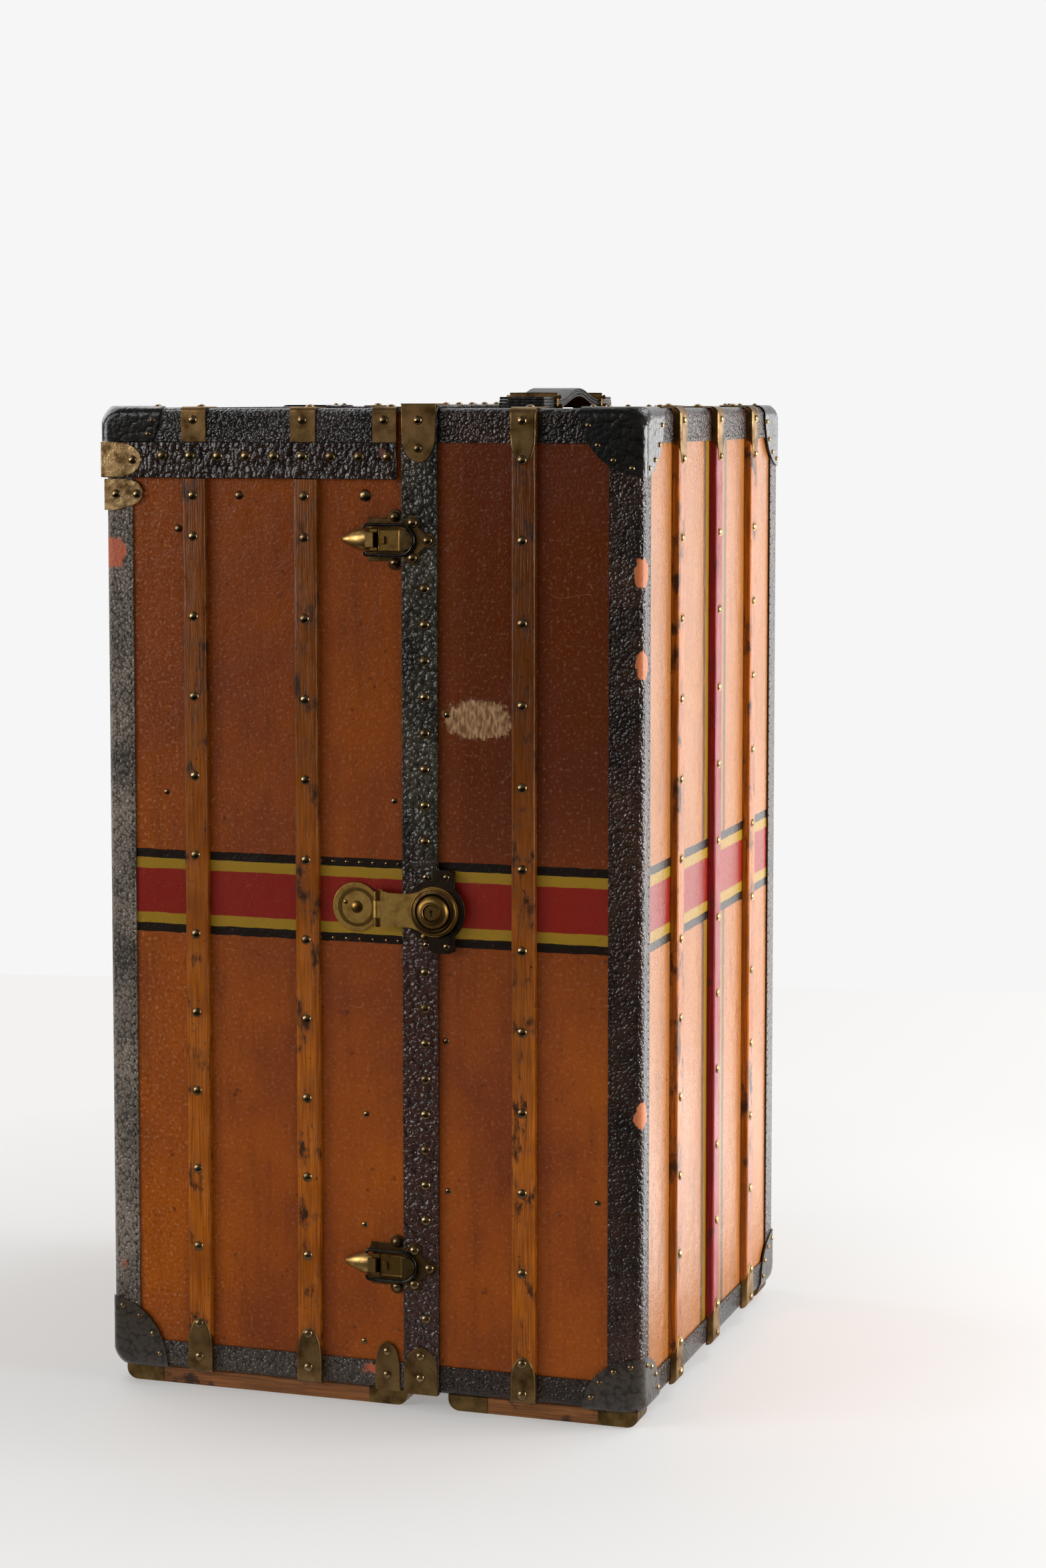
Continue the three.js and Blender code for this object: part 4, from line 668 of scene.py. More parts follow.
def hand_over(piece, body, replaces):
    """Lets a piece ride on a part of the trunk, in place of the frame's pieces that are named."""
    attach(piece, body)
    if replaces:
        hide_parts(*replaces)
    print(piece.name, "on", body, "with", len(piece.data.polygons), "faces")


def make_piece(name, bm, body, material, sharp=32, bevel=0.0, replaces=()):
    bmesh.ops.recalc_face_normals(bm, faces=bm.faces)
    bmesh.ops.transform(bm, verts=bm.verts, matrix=TO_FRAME)
    piece = new_object(name, bm)
    finish(piece.data, material, sharp)
    if bevel:
        round_edges(piece, bevel)
    hand_over(piece, body, replaces)
    return piece


# %% [markdown]
# ## Nails
# Every clamp, slat and strap is held by domed brass nails. They are 12 mm across on the slats, 7 to
# 12 mm on clamps, straps and caps, and the tacks along the borders are 3 mm. A dome is a ball pressed
# flat with its lower half in the wood. All nails of one part of the trunk go into one piece, so the
# nails are collected first and made at the end, and so are the clamps.

# %% Nail templates
BODIES = ("drawer_half", "hanging_half", "lid")
dome_form, tack_form = bmesh.new(), bmesh.new()
bmesh.ops.create_uvsphere(dome_form, u_segments=16, v_segments=8, radius=1)
bmesh.ops.create_uvsphere(tack_form, u_segments=8, v_segments=4, radius=1)
nails, tacks, clamps = [{body: bmesh.new() for body in BODIES} for kind in range(3)]
print("nail faces", len(dome_form.faces), "tack faces", len(tack_form.faces))


def nail(body, where, x, z, lift, radius=5.8, rise=3.2, small=False):
    """A dome at x and z on a face, with its foot at a height above the canvas."""
    shape = Matrix.Diagonal((radius, radius, rise, 1))
    group, form = (tacks, tack_form) if small else (nails, dome_form)
    stamp(group[body], form, where @ Matrix.Translation((x, -lift, z)) @ LIE_FLAT @ shape)


# %% [markdown]
# ## Slats and their clamps
# A slat is a bar 27.5 mm wide and 9 mm high with its long edges rounded. A brass clamp folds over each
# end, follows the rounded edge of the case and ends in a tongue with two nails. Both are drawn
# straight and then pressed down at the end, point by point, to the same rounded side view.

# %% Slat form
SLAT_HALF, SLAT_RISE = 13.75, 9.5
END_ROUND = 10
ROUND_STEPS = (0.6, 1.6, 3, 5, 7.5, END_ROUND)


def quarter_round(depth):
    """How high a quarter circle has risen at a depth in from the end."""
    return math.sqrt(max(END_ROUND ** 2 - (END_ROUND - depth) ** 2, 0))


def press_end(verts, end, way, crown):
    """Keeps points near a slat's end under a quarter circle, so that the end is rounded."""
    for v in verts:
        depth = (v.co.z - end) * way
        if depth < END_ROUND:
            v.co.y = max(v.co.y, END_ROUND - crown - quarter_round(max(depth, 0)))


def slat_form(ends):
    """A bar from foot to head. Each end comes with the way in from it, or with 0 if it is square."""
    bm = bmesh.new()
    box(bm, (-SLAT_HALF, SLAT_HALF), (-SLAT_RISE, -FIT), [end for end, way in ends])
    bevel_edges(bm, [e for e in bm.edges if runs(e, 2) and e.verts[0].co.y < -1], 3.2, 4)
    for end, way in ends:
        if way:
            for step in ROUND_STEPS:
                cut_plane(bm, 2, end + way * step)
            press_end(bm.verts, end, way, SLAT_RISE)
    return bm


# %% Clamp form
CLAMP_HALF, CLAMP_RISE, CLAMP_LOW, CLAMP_SHEET = 14.95, 10.9, 2.8, 1.4


def tongue_points(half, root, tip):
    """A strip's outline from its square root to its rounded tip."""
    way = 1 if tip > root else -1
    length, shoulder = abs(tip - root), 0.45
    points = [(-half, root)]
    for i in range(13):
        angle = math.pi * i / 12
        rise = shoulder + (1 - shoulder) * math.sin(angle) ** 0.8
        points.append((-half * math.cos(angle) * (1 - 0.06 * math.sin(angle)), root + way * length * rise))
    points.append((half, root))
    return points if way > 0 else points[::-1]


def outer_rim(bm, rise, root):
    """The edges round a tongue's outer face, without the straight one at its root."""
    return [e for e in bm.edges if all(abs(v.co.y + rise) < 0.01 for v in e.verts)
            and not all(abs(v.co.z - root) < 0.01 for v in e.verts)]


def flap_form(end, fold):
    """The part of a clamp that lies on the level face, pressed to the same round."""
    flap = bmesh.new()
    box(flap, (-CLAMP_HALF, CLAMP_HALF), (-CLAMP_RISE + 1, 30), (end + FIT, fold))
    for y in (-9, -7.5, -5.5, -3.4, -1.2):
        cut_plane(flap, 1, y)
    for v in flap.verts:
        inward = v.co.y + CLAMP_RISE
        if inward < END_ROUND and v.co.z > end + 1:
            v.co.z -= END_ROUND - quarter_round(inward)
        elif inward < END_ROUND:
            v.co.z = min(v.co.z, fold - CLAMP_SHEET - END_ROUND + quarter_round(inward))
    return flap


def clamp_form(end, length, turn):
    """A brass clamp whose root is at a slat's end. A top one turns over onto the level face."""
    way = -1 if turn else 1
    fold = end + (CLAMP_SHEET + FIT if turn else 0)
    bm = bmesh.new()
    outline_plate(bm, tongue_points(CLAMP_HALF, fold, end + way * length), CLAMP_LOW, CLAMP_RISE)
    bevel_edges(bm, outer_rim(bm, CLAMP_RISE, fold), 2.6)
    for step in ROUND_STEPS:
        cut_plane(bm, 2, fold + way * step)
    if turn:
        stamp(bm, flap_form(end, fold))
    press_end([v for v in bm.verts if v.co.y < -0.1], fold, way, CLAMP_RISE)
    return bm


# %% Slats and clamps on both halves
SLAT_NAILS = [985.6 - 90.8 * i for i in range(10)]
drawer_kit = (slat_form(((BASE, 1), (HEIGHT, -1))), clamp_form(BASE, 55, False), (66, 31))
hanging_kit = (slat_form(((BASE, 1), (SKIRT_LOW - FIT, 0))), clamp_form(BASE, 66, False), (78, 39))
top_clamp = clamp_form(HEIGHT, 62, True)
SLATS = {"drawer_slat_front": ("front", 183.5), "drawer_slat_back": ("back", 183.5),
         "drawer_slat_side_1": ("right", -172), "drawer_slat_side_2": ("right", -7),
         "drawer_slat_side_3": ("right", 158),
         "hanging_slat_front_1": ("front", -208), "hanging_slat_front_2": ("front", -73),
         "hanging_slat_back_1": ("back", -208), "hanging_slat_back_2": ("back", -73),
         "hanging_slat_side_1": ("left", -172), "hanging_slat_side_2": ("left", -7),
         "hanging_slat_side_3": ("left", 158)}
for name, (side, along) in SLATS.items():
    tall = name.startswith("drawer")
    body = "drawer_half" if tall else "hanging_half"
    slat, foot_clamp, foot_nails = drawer_kit if tall else hanging_kit
    place = face(side, along)
    make_piece(f"{name}_wood", placed(slat, place), body,
               red_slat_wood if name.endswith("side_2") else slat_wood, replaces=(name,))
    stamp(clamps[body], foot_clamp, place)
    for z in SLAT_NAILS if tall else [1032] + SLAT_NAILS:
        nail(body, place, -0.8, z, SLAT_RISE - 0.4)
    for z in (1117, 1074, *foot_nails) if tall else foot_nails:
        nail(body, place, -0.5, z, CLAMP_RISE - 0.4, 5.6, 3.4)
    if tall:
        stamp(clamps[body], top_clamp, place)
        nail(body, place @ top_face(0, 18, HEIGHT + 1.2), 0, 0, 0, 5.2, 3)

# %% [markdown]
# ## Edge binding
# The leather wraps every edge of the case in one strip. A box with rounded edges gives its outside.
# The corners of a real case are rounder still, so points near them are drawn onto a ball. The box is
# then cut along the borders, the windows where canvas shows are taken out, and Solidify gives the
# rest the thickness of the leather.

# %% Rounded case skin
EDGE_RADIUS, VERTEX_DEPTH = 9, 24
VERTEX_RADIUS = VERTEX_DEPTH * math.sqrt(2) - EDGE_RADIUS * (math.sqrt(2) - 1)
WIDE, FACE_REACH = 5000, 6


def case_skin(low, high, grow=0.0):
    """The rounded box of the case, let out by a little where a piece lies over it."""
    bm = bmesh.new()
    box(bm, *[(low[axis] - grow, high[axis] + grow) for axis in range(3)])
    bevel_edges(bm, bm.edges[:], EDGE_RADIUS + grow, 5)
    for axis in range(3):
        for inset in (13, 17, 20.5, VERTEX_DEPTH):
            cut_plane(bm, axis, low[axis] + inset)
            cut_plane(bm, axis, high[axis] - inset)
    for v in bm.verts:
        nearest = Vector([min(max(v.co[axis], low[axis] + VERTEX_DEPTH), high[axis] - VERTEX_DEPTH)
                          for axis in range(3)])
        out = v.co - nearest
        if all(out) and out.length > VERTEX_RADIUS + grow:
            v.co = nearest + out.normalized() * (VERTEX_RADIUS + grow)
    return bm


def open_windows(bm, windows):
    """Cuts along each window's sides and takes out the faces inside it."""
    for window in windows:
        for axis, ends in enumerate(window):
            for value in ends:
                if abs(value) < WIDE:
                    cut_plane(bm, axis, value)
    gone = []
    for f in bm.faces:
        c = f.calc_center_median()
        if any(all(a <= c[i] <= b for i, (a, b) in enumerate(window)) for window in windows):
            gone.append(f)
    bmesh.ops.delete(bm, geom=gone, context="FACES")


def near(value):
    """The thin slice of space round one face of the case."""
    return (value - FACE_REACH, value + FACE_REACH)


# %% Binding of the three parts
CASE_LOW, CASE_HIGH = (LEFT, FRONT, BASE), (RIGHT, BACK, HEIGHT)
LID_LOW, LID_HIGH = (LID_LEFT, FRONT - 3, BASE), (RIGHT, BACK + 3, HEIGHT)
SIDE_Z, OPEN_Z, SIDE_Y = (BASE + 33, HEIGHT - 38), (BASE + 33, WIDE), (FRONT + 27, BACK - 38)
right_face, left_face = (SEAM - 50, RIGHT - 40), (LEFT + 34, SEAM + 50)
under_band, floor_y = (FRONT - FACE_REACH, FRONT + 3.2), (FRONT + 33, BACK - 33)


def bind(name, skin, body, leather, replaced):
    """Gives a skin the leather's thickness, inwards, with its cut edges a little rounded."""
    piece = make_piece(name, skin, body, leather, sharp=50, replaces=(replaced,))
    wall = piece.modifiers.new("leather", "SOLIDIFY")
    wall.thickness, wall.offset = 0.0022, -1
    round_edges(piece, 0.5, 50)


drawer_skin = case_skin(CASE_LOW, CASE_HIGH)
cut_plane(drawer_skin, 0, SEAM + FIT, "below")
open_windows(drawer_skin, [
    (right_face, near(FRONT), SIDE_Z), (right_face, near(BACK), SIDE_Z), (near(RIGHT), SIDE_Y, SIDE_Z),
    (right_face, (FRONT + 38, BACK - 38), near(HEIGHT)), (right_face, floor_y, near(BASE)),
    ((SEAM - FACE_REACH, BAND_RIGHT + FIT), under_band, (-WIDE, WIDE))])
bind("drawer_edge_leather", drawer_skin, "drawer_half", binding_leather, "drawer_binding")
hanging_skin = case_skin(CASE_LOW, CASE_HIGH)
cut_plane(hanging_skin, 0, SEAM - FIT, "above")
cut_plane(hanging_skin, 2, LID_FLOOR, "above")
open_windows(hanging_skin, [
    (left_face, near(FRONT), OPEN_Z), (left_face, near(BACK), OPEN_Z), (near(LEFT), SIDE_Y, OPEN_Z),
    (left_face, floor_y, near(BASE)), ((BAND_LEFT - FIT, SEAM + FACE_REACH), under_band, (-WIDE, WIDE))])
bind("hanging_edge_leather", hanging_skin, "hanging_half", dry_leather_with_painted_sheen, "hanging_binding")
lid_skin = case_skin(LID_LOW, LID_HIGH)
cut_plane(lid_skin, 0, LID_RIGHT, "above")
cut_plane(lid_skin, 2, LID_FLOOR + FIT, "below")
open_windows(lid_skin, [((LID_LEFT + 38, LID_RIGHT - 38), (FRONT + 35, BACK - 35), near(HEIGHT))])
bind("lid_edge_leather", lid_skin, "lid", edge_leather, "lid_binding")

# %% [markdown]
# ## Corner caps
# A cap is thick hide moulded wet over the corner and nailed along its curved rim. The same skin, let
# out by the cap's thickness, is cut by a ball round the corner. The Boolean modifier does that cut
# exactly, and its result is kept as a plain mesh.

# %% Cutting one form by another
def cut_by(piece, form, operation):
    """Cuts a piece by a closed form and keeps the result as its plain mesh."""
    tool = new_object("cutting_form", form)
    cutter = piece.modifiers.new("cut", "BOOLEAN")
    cutter.operation, cutter.solver, cutter.object = operation, "EXACT", tool
    graph = bpy.context.evaluated_depsgraph_get()
    piece.data = bpy.data.meshes.new_from_object(piece.evaluated_get(graph))
    piece.modifiers.clear()
    bpy.data.objects.remove(tool)


# %% Corner caps
CAP_FACE, RIM_INSET = 1.9, 8


def round_cap(name, low, high, corner, reach, rise, body, cut_below=None, replaces=()):
    skin = case_skin(low, high, 2.1)
    for axis in range(3):
        limit = high[axis] - 100 if corner[axis] else low[axis] + 100
        cut_plane(skin, axis, limit, "below" if corner[axis] else "above")
    if cut_below is not None:
        cut_plane(skin, 2, cut_below, "below")
    bmesh.ops.transform(skin, verts=skin.verts, matrix=TO_FRAME)
    cap = new_object(name, skin)
    wall = cap.modifiers.new("hide", "SOLIDIFY")
    wall.thickness, wall.offset = 0.0018, -1
    spot = Matrix.Translation([high[i] if corner[i] else low[i] for i in range(3)])
    ball = bmesh.new()
    bmesh.ops.create_uvsphere(ball, u_segments=64, v_segments=32, radius=1,
                              matrix=TO_FRAME @ spot @ Matrix.Diagonal((reach, reach, rise, 1)))
    cut_by(cap, ball, "INTERSECT")
    finish(cap.data, cap_leather, 40)
    round_edges(cap, 0.6, 50)
    hand_over(cap, body, replaces)


def rim_nails(body, corner, low, high, reach, rise, angles):
    """Nails just inside the rim on each of a cap's three faces."""
    ends = [high[i] if corner[i] else low[i] for i in range(3)]
    ways = [-1 if corner[i] else 1 for i in range(3)]
    front, side = "back" if corner[1] else "front", "right" if corner[0] else "left"
    front_lift = abs(ends[1]) - BACK + CANVAS + CAP_FACE
    side_lift = abs(ends[0]) - RIGHT + CANVAS + CAP_FACE
    for angle in angles:
        across = math.cos(math.radians(angle)) * (reach - RIM_INSET)
        up = math.sin(math.radians(angle)) * (rise - RIM_INSET)
        x, y, z = ends[0] + ways[0] * across, ends[1] + ways[1] * across, ends[2] + ways[2] * up
        nail(body, face(front, 0), -x if corner[1] else x, z, front_lift, 3.4, 2.4)
        nail(body, face(side, 0), y if corner[0] else -y, z, side_lift, 3.4, 2.4)
        if corner[2]:
            nail(body, top_face(x, ends[1] + ways[1] * up, HEIGHT + CAP_FACE), 0, 0, 0, 3.4, 2.4)


for name, corner in (("top_front", (1, 0, 1)), ("top_rear", (1, 1, 1)), ("bottom_front", (1, 0, 0)),
                     ("bottom_rear", (1, 1, 0))):
    reach, rise = (74, 74) if corner[2] else (69, 62)
    round_cap(f"drawer_cap_{name}", CASE_LOW, CASE_HIGH, corner, reach, rise, "drawer_half",
              None if corner[2] else BASE, replaces=(f"drawer_corner_{name}",))
    rim_nails("drawer_half", corner, CASE_LOW, CASE_HIGH, reach, rise, (16, 37, 58, 78))
for name, corner in (("front", (0, 0, 0)), ("rear", (0, 1, 0))):
    round_cap(f"hanging_cap_{name}", CASE_LOW, CASE_HIGH, corner, 69, 80, "hanging_half", BASE,
              replaces=(f"hanging_corner_{name}",))
    rim_nails("hanging_half", corner, CASE_LOW, CASE_HIGH, 69, 80, (14, 34, 56, 78))
for name, corner in (("front", (0, 0, 1)), ("rear", (0, 1, 1))):
    round_cap(f"lid_cap_{name}", LID_LOW, LID_HIGH, corner, 74, 74, "lid", LID_FLOOR + FIT)
    rim_nails("lid", corner, LID_LOW, LID_HIGH, 74, 74, (12, 26))

# %% [markdown]
# ## Seam band
# A flat strap of harness leather covers the joint between the two halves. It stands 7 mm proud, its
# long edges are rounded, and a brass bracket holds each end. Its nails are 40 mm apart and sit to the
# right of its middle, where the strap is fixed to the drawer half.

# %% Band and brackets
BAND_FACE, BAND_TOP, BAND_NAIL_X = 7.0, HEIGHT + 4, 68
BRACKET_HALF, BRACKET_SHEET = 20.2, 1.3
band_front = FRONT + CANVAS - BAND_FACE
band = bmesh.new()
box(band, (BAND_LEFT, BAND_RIGHT), (-BAND_FACE, -0.5), (BASE, BAND_TOP), face("front", 0))
box(band, (BAND_LEFT, BAND_RIGHT), (band_front, BACK - 9), (HEIGHT + FIT, BAND_TOP))
make_piece("band_leather", band, "drawer_half", band_leather, bevel=1.2,
           replaces=("seam_valance",))
brackets = bmesh.new()
for root, tip in ((BAND_TOP, BAND_TOP - 64), (BASE, BASE + 54)):
    plate = bmesh.new()
    outline_plate(plate, tongue_points(BRACKET_HALF, root, tip), BAND_FACE - 0.5, BAND_FACE + BRACKET_SHEET)
    bevel_edges(plate, outer_rim(plate, BAND_FACE + BRACKET_SHEET, root), 0.8, 2)
    stamp(brackets, plate, face("front", SEAM))
box(brackets, (SEAM - BRACKET_HALF, SEAM + BRACKET_HALF), (band_front - BRACKET_SHEET, FRONT + 34),
    (BAND_TOP - 0.2, BAND_TOP + BRACKET_SHEET))
make_piece("band_brackets", brackets, "drawer_half", clamp_brass)
for z in [931 - 40.3 * i for i in range(8)] + [541.5 - 40.3 * i for i in range(9)] + [106]:
    nail("drawer_half", face("front", 0), BAND_NAIL_X, z, BAND_FACE - 0.3, 5.9, 3.8)
for z in (1117, 1086, 63, 38):
    nail("drawer_half", face("front", SEAM), -0.6, z, BAND_FACE + 1.1, 5.2, 3.4)
for i in range(11):
    nail("drawer_half", top_face(BAND_NAIL_X, FRONT + 70 + i * 45, BAND_TOP), 0, 0, -0.3, 4.6, 3.0)

# %% [markdown]
# ## Lid skirt, lid clamps and the long hinge
# Below the lid hangs a strip of thick wrinkled leather, with a row of nails and a brass bracket at its
# outer end. Three small clamps hold the lid's binding. The lid turns on a long hinge of thin brass,
# rolled over a pin, on the trunk's left side.

# %% Skirt and its brackets
SKIRT_LEFT, SKIRT_MIDDLE = -321.5, 1071.5
SKIRT_NAILS = [-246.5 + 34 * i for i in range(9)]


def lobe(x, z, reach, rise, power, steps):
    """Half an oval from its head to its foot, a little fuller than a true one."""
    angles = [math.pi * (0.5 - i / 12) for i in steps]
    return [(x + reach * math.cos(angle) ** power, z + rise * math.sin(angle)) for angle in angles]


SKIRT_BRACKET = [(-322.2, 1051.4), (-322.2, 1091.6)] + lobe(-304, SKIRT_MIDDLE, 32, 20.1, 0.9, range(13))
CASE_BRACKET = [(-320.5, 1014), (-320.5, 1049.5), (-293, 1049.5)]
CASE_BRACKET += lobe(-291, 1034, 18.5, 14.5, 0.8, range(1, 12)) + [(-304, 1014)]
for side, name, sign in (("front", "lid_skirt_front", 1), ("back", "lid_skirt_rear", -1)):
    place = face(side, 0)
    skirt, upper, lower = bmesh.new(), bmesh.new(), bmesh.new()
    box(skirt, sorted((sign * SKIRT_LEFT, sign * LID_RIGHT)), (-7.5, -2.9), (SKIRT_LOW, LID_FLOOR), place)
    make_piece(f"{name}_leather", skirt, "lid", skirt_leather, bevel=1.0,
               replaces=(name,))
    outline_plate(upper, [(sign * x, z) for x, z in SKIRT_BRACKET], 7.3, 8.6)
    make_piece(f"skirt_bracket_{side}", placed(upper, place), "lid", bracket_brass, bevel=0.6)
    outline_plate(lower, [(sign * x, z) for x, z in CASE_BRACKET], 2.4, 3.8)
    make_piece(f"case_bracket_{side}", placed(lower, place), "hanging_half", bracket_brass,
               bevel=0.5)
    for x in SKIRT_NAILS:
        nail("lid", place, sign * x, 1076.5, 7.2, 6.2, 3.8)
    nail("lid", place, sign * -283, SKIRT_MIDDLE, 8.2, 5.4, 3.2)
    for x in (-306, -280):
        nail("hanging_half", place, sign * x, 1032.5, 3.4, 5.4, 3.2)

# %% Lid clamps
CLAMP_BEND = HEIGHT - 4


def lid_clamp(place, half):
    """A thin clamp that turns over the lid's upper edge."""
    flats, turn = bmesh.new(), bmesh.new()
    box(flats, (-half, half), (-6.9, -5.4), (LID_FLOOR + FIT, CLAMP_BEND))
    box(flats, (-half, half), (-1, 27), (HEIGHT + 0.1, HEIGHT + 1.5))
    section = [turn.verts.new((x, y, CLAMP_BEND))
               for x, y in ((-half, -6.9), (half, -6.9), (half, -5.4), (-half, -5.4))]
    bmesh.ops.spin(turn, geom=[turn.faces.new(section)], cent=(0, -1, CLAMP_BEND - 0.2), axis=(1, 0, 0),
                   dvec=(0, 0, 0), angle=math.radians(-90), steps=6, use_merge=False)
    stamp(clamps["lid"], flats, place)
    stamp(clamps["lid"], turn, place)


for side in ("front", "back"):
    for x, half in ((-208.4, CLAMP_HALF), (-75.7, CLAMP_HALF), (21.5, 14)):
        place = face(side, x)
        lid_clamp(place, half)
        nail("lid", place, -0.8, 1117, 6.6, 5.4, 3.2)
        nail("lid", place @ top_face(0, 16, HEIGHT + 1.4), 0, 0, 0, 5.2, 3)
print("lid clamps", len(clamps["lid"].faces), "faces")

# %% Long lid hinge
HINGE_X, HINGE_Z = LID_LEFT - 3.9, LID_FLOOR + 0.15
HINGE_REACH, HINGE_COUNT, LEAF_EDGE, LEAF_ROOT = 231, 9, 27.1, 0.4
pitch = HINGE_REACH * 2 / HINGE_COUNT
for way, body, name in ((1, "lid", "lid_hinge_upper"), (-1, "hanging_half", "lid_hinge_lower")):
    leaf = bmesh.new()
    z = sorted((HINGE_Z + way * LEAF_ROOT, HINGE_Z + way * LEAF_EDGE))
    box(leaf, (LID_LEFT - 1.95, LID_LEFT - 0.2), (-HINGE_REACH, HINGE_REACH), z)
    for i in range(1 if way > 0 else 0, HINGE_COUNT, 2):
        middle = Matrix.Translation((HINGE_X, -HINGE_REACH + (i + 0.5) * pitch, HINGE_Z))
        rod(leaf, 3.7, pitch - 0.5, middle @ LIE_FLAT, 20)
    make_piece(name, leaf, body, plate_brass, bevel=0.3)
    for i in range(6):
        nail(body, face("left", 0), 200 - i * 80, HINGE_Z + way * 15, 7.3, 3.2, 1.6)

# %% [markdown]
# ## Draw latches
# The lever is a cast nose with a blunt point. A wire bail hangs on it, runs round the housing and
# pulls on a catch across the seam. The nose is spun as half a bullet, the wire is a round section
# carried along its bent path, and the flat plates are cut to their lobed outlines.

# %% Latch plates and housing
LATCH_HEIGHTS = {"upper": 984.5, "lower": 165}


def circle_points(x, z, radius, start, end, steps):
    """Points along an arc between two angles in degrees."""
    angles = [math.radians(start + (end - start) * i / steps) for i in range(steps + 1)]
    return [(x + radius * math.cos(angle), z + radius * math.sin(angle)) for angle in angles]


def latch_plate():
    bm = bmesh.new()
    half = [(-0.4, 0), (-0.4, 20)] + circle_points(-9.3, 25.5, 8.4, -20, 200, 14)
    half += [(-19, 24), (-41, 24)] + circle_points(-49, 23, 8.2, 0, -62, 6) + [(-47, 0)]
    outline = half + [(x, -z) for x, z in reversed(half[1:-1])]
    outline_plate(bm, outline[::-1], 0.3, 1.8)
    return bm


def housing_form():
    bm = bmesh.new()
    box(bm, (-25.6, -0.4), (-11, -0.4), (-12.2, 12.2))
    top = max(bm.faces, key=lambda f: -f.calc_center_median().y)
    bmesh.ops.inset_region(bm, faces=[top], thickness=1.6, depth=0)
    bmesh.ops.translate(bm, verts=top.verts, vec=(0, 1.3, 0))
    box(bm, (-23.5, -18), (-12.4, -9.2), (-4.4, 4.4))
    for side in (-1, 1):
        box(bm, (-35.2, -26.8), (-11.9, -0.4), sorted((side * 8.3, side * 12.3)))
    return bm


def strike_form():
    bm = bmesh.new()
    outline = [(0.4, -14)] + circle_points(14, -19.5, 8, 215, 395, 12)
    outline += circle_points(33, 0, 8, -115, 115, 12) + circle_points(14, 19.5, 8, -35, 145, 12) + [(0.4, 14)]
    outline_plate(bm, outline, 7.3, 8.9)
    catch = [(0.4, -12)] + circle_points(3.5, 0, 12, -90, 90, 16) + [(0.4, 12)]
    outline_plate(bm, catch, 7.3, 13.6)
    return bm


# %% Latch nose and wire
def latch_nose():
    """Half a bullet, lying on the plate with its point to the left."""
    bm = bmesh.new()
    profile = [(0, 11.6), (4, 11.9), (9, 11.5), (15, 10.3), (21, 8.5), (26, 6.6), (30, 4.8), (33.5, 3.1),
               (35.4, 1.5), (36, 0)]
    verts = [bm.verts.new((-36 - along, 0, reach)) for along, reach in profile]
    chain = [bm.edges.new(pair) for pair in zip(verts, verts[1:])]
    bmesh.ops.spin(bm, geom=verts + chain, cent=(0, 0, 0), axis=(1, 0, 0), dvec=(0, 0, 0),
                   angle=math.radians(180), steps=18, use_merge=False)
    bmesh.ops.remove_doubles(bm, verts=bm.verts, dist=0.01)
    bmesh.ops.scale(bm, verts=bm.verts, vec=(1, 0.98, 1.15))
    bmesh.ops.holes_fill(bm, edges=[e for e in bm.edges if e.is_boundary], sides=0)
    bmesh.ops.translate(bm, verts=bm.verts, vec=(0, -2.6, 0))
    box(bm, (-40, -31), (-14.1, -6.5), (-7.9, 7.9))
    return bm


def bail_form():
    """A round section carried along the wire's path and turned at each bend."""
    bm = bmesh.new()
    path = [(-42, 12.5), (-42, 14.6), (-41.2, 16.4), (-39.5, 17), (-30, 17), (-15, 17), (-1, 17)]
    path += circle_points(-1, 0, 17, 84, 6, 9)
    path += [(x, -z) for x, z in reversed(path)]
    steps = [Vector((x, -11.2, z)) for x, z in path]
    ring = bmesh.ops.create_circle(bm, cap_ends=False, segments=12, radius=1.8)["verts"]
    before = (steps[1] - steps[0]).normalized()
    turn = Vector((0, 0, 1)).rotation_difference(before).to_matrix().to_4x4()
    bmesh.ops.transform(bm, verts=ring, matrix=Matrix.Translation(steps[0]) @ turn)
    edges = bm.edges[:]
    bmesh.ops.contextual_create(bm, geom=edges)
    for i in range(1, len(steps)):
        heading = (steps[min(i + 1, len(steps) - 1)] - steps[i - 1]).normalized()
        grown = bmesh.ops.extrude_edge_only(bm, edges=edges)["geom"]
        verts = [v for v in grown if isinstance(v, bmesh.types.BMVert)]
        edges = [e for e in grown if isinstance(e, bmesh.types.BMEdge)]
        swing = before.rotation_difference(heading).to_matrix().to_4x4()
        move = Matrix.Translation(steps[i]) @ swing @ Matrix.Translation(-steps[i - 1])
        bmesh.ops.transform(bm, verts=verts, matrix=move)
        before = heading
    bmesh.ops.contextual_create(bm, geom=edges)
    return bm


# %% Both latches
latch_parts = {"plate": latch_plate(), "nose": latch_nose(), "housing": housing_form(), "bail": bail_form(),
               "strike": strike_form()}
for level, height in LATCH_HEIGHTS.items():
    spot = face("front", BAND_LEFT, height)
    for part, body, name, material, slot, node, soft in (
            ("plate", "hanging_half", "latch_plate", plate_brass, "aged_brass", "latch_base", 0.5),
            ("housing", "hanging_half", "latch_housing", latch_brass, "aged_brass", None, 0.5),
            ("nose", f"latch_lever_{level}", "latch_nose", nose_brass, "aged_brass", "latch_lever", 0),
            ("bail", f"latch_bail_{level}", "latch_wire", wire_iron, "bail_wire", "latch_bail", 0),
            ("strike", "drawer_half", "strike_plate", plate_brass, "aged_brass", "strike", 0.5)):
        make_piece(f"{name}_{level}", placed(latch_parts[part], spot), body, material, bevel=soft,
                   replaces=(f"{node}_{level}",) if node else ())
    for z in (-25.5, 25.5):
        nail("hanging_half", spot, -9, z, 1.6, 6.2, 5.0)
        nail("drawer_half", spot, 14, z * 0.765, 8.6, 6.0, 4.4)
    nail("drawer_half", spot, 32, 0, 8.6, 6.0, 4.4)

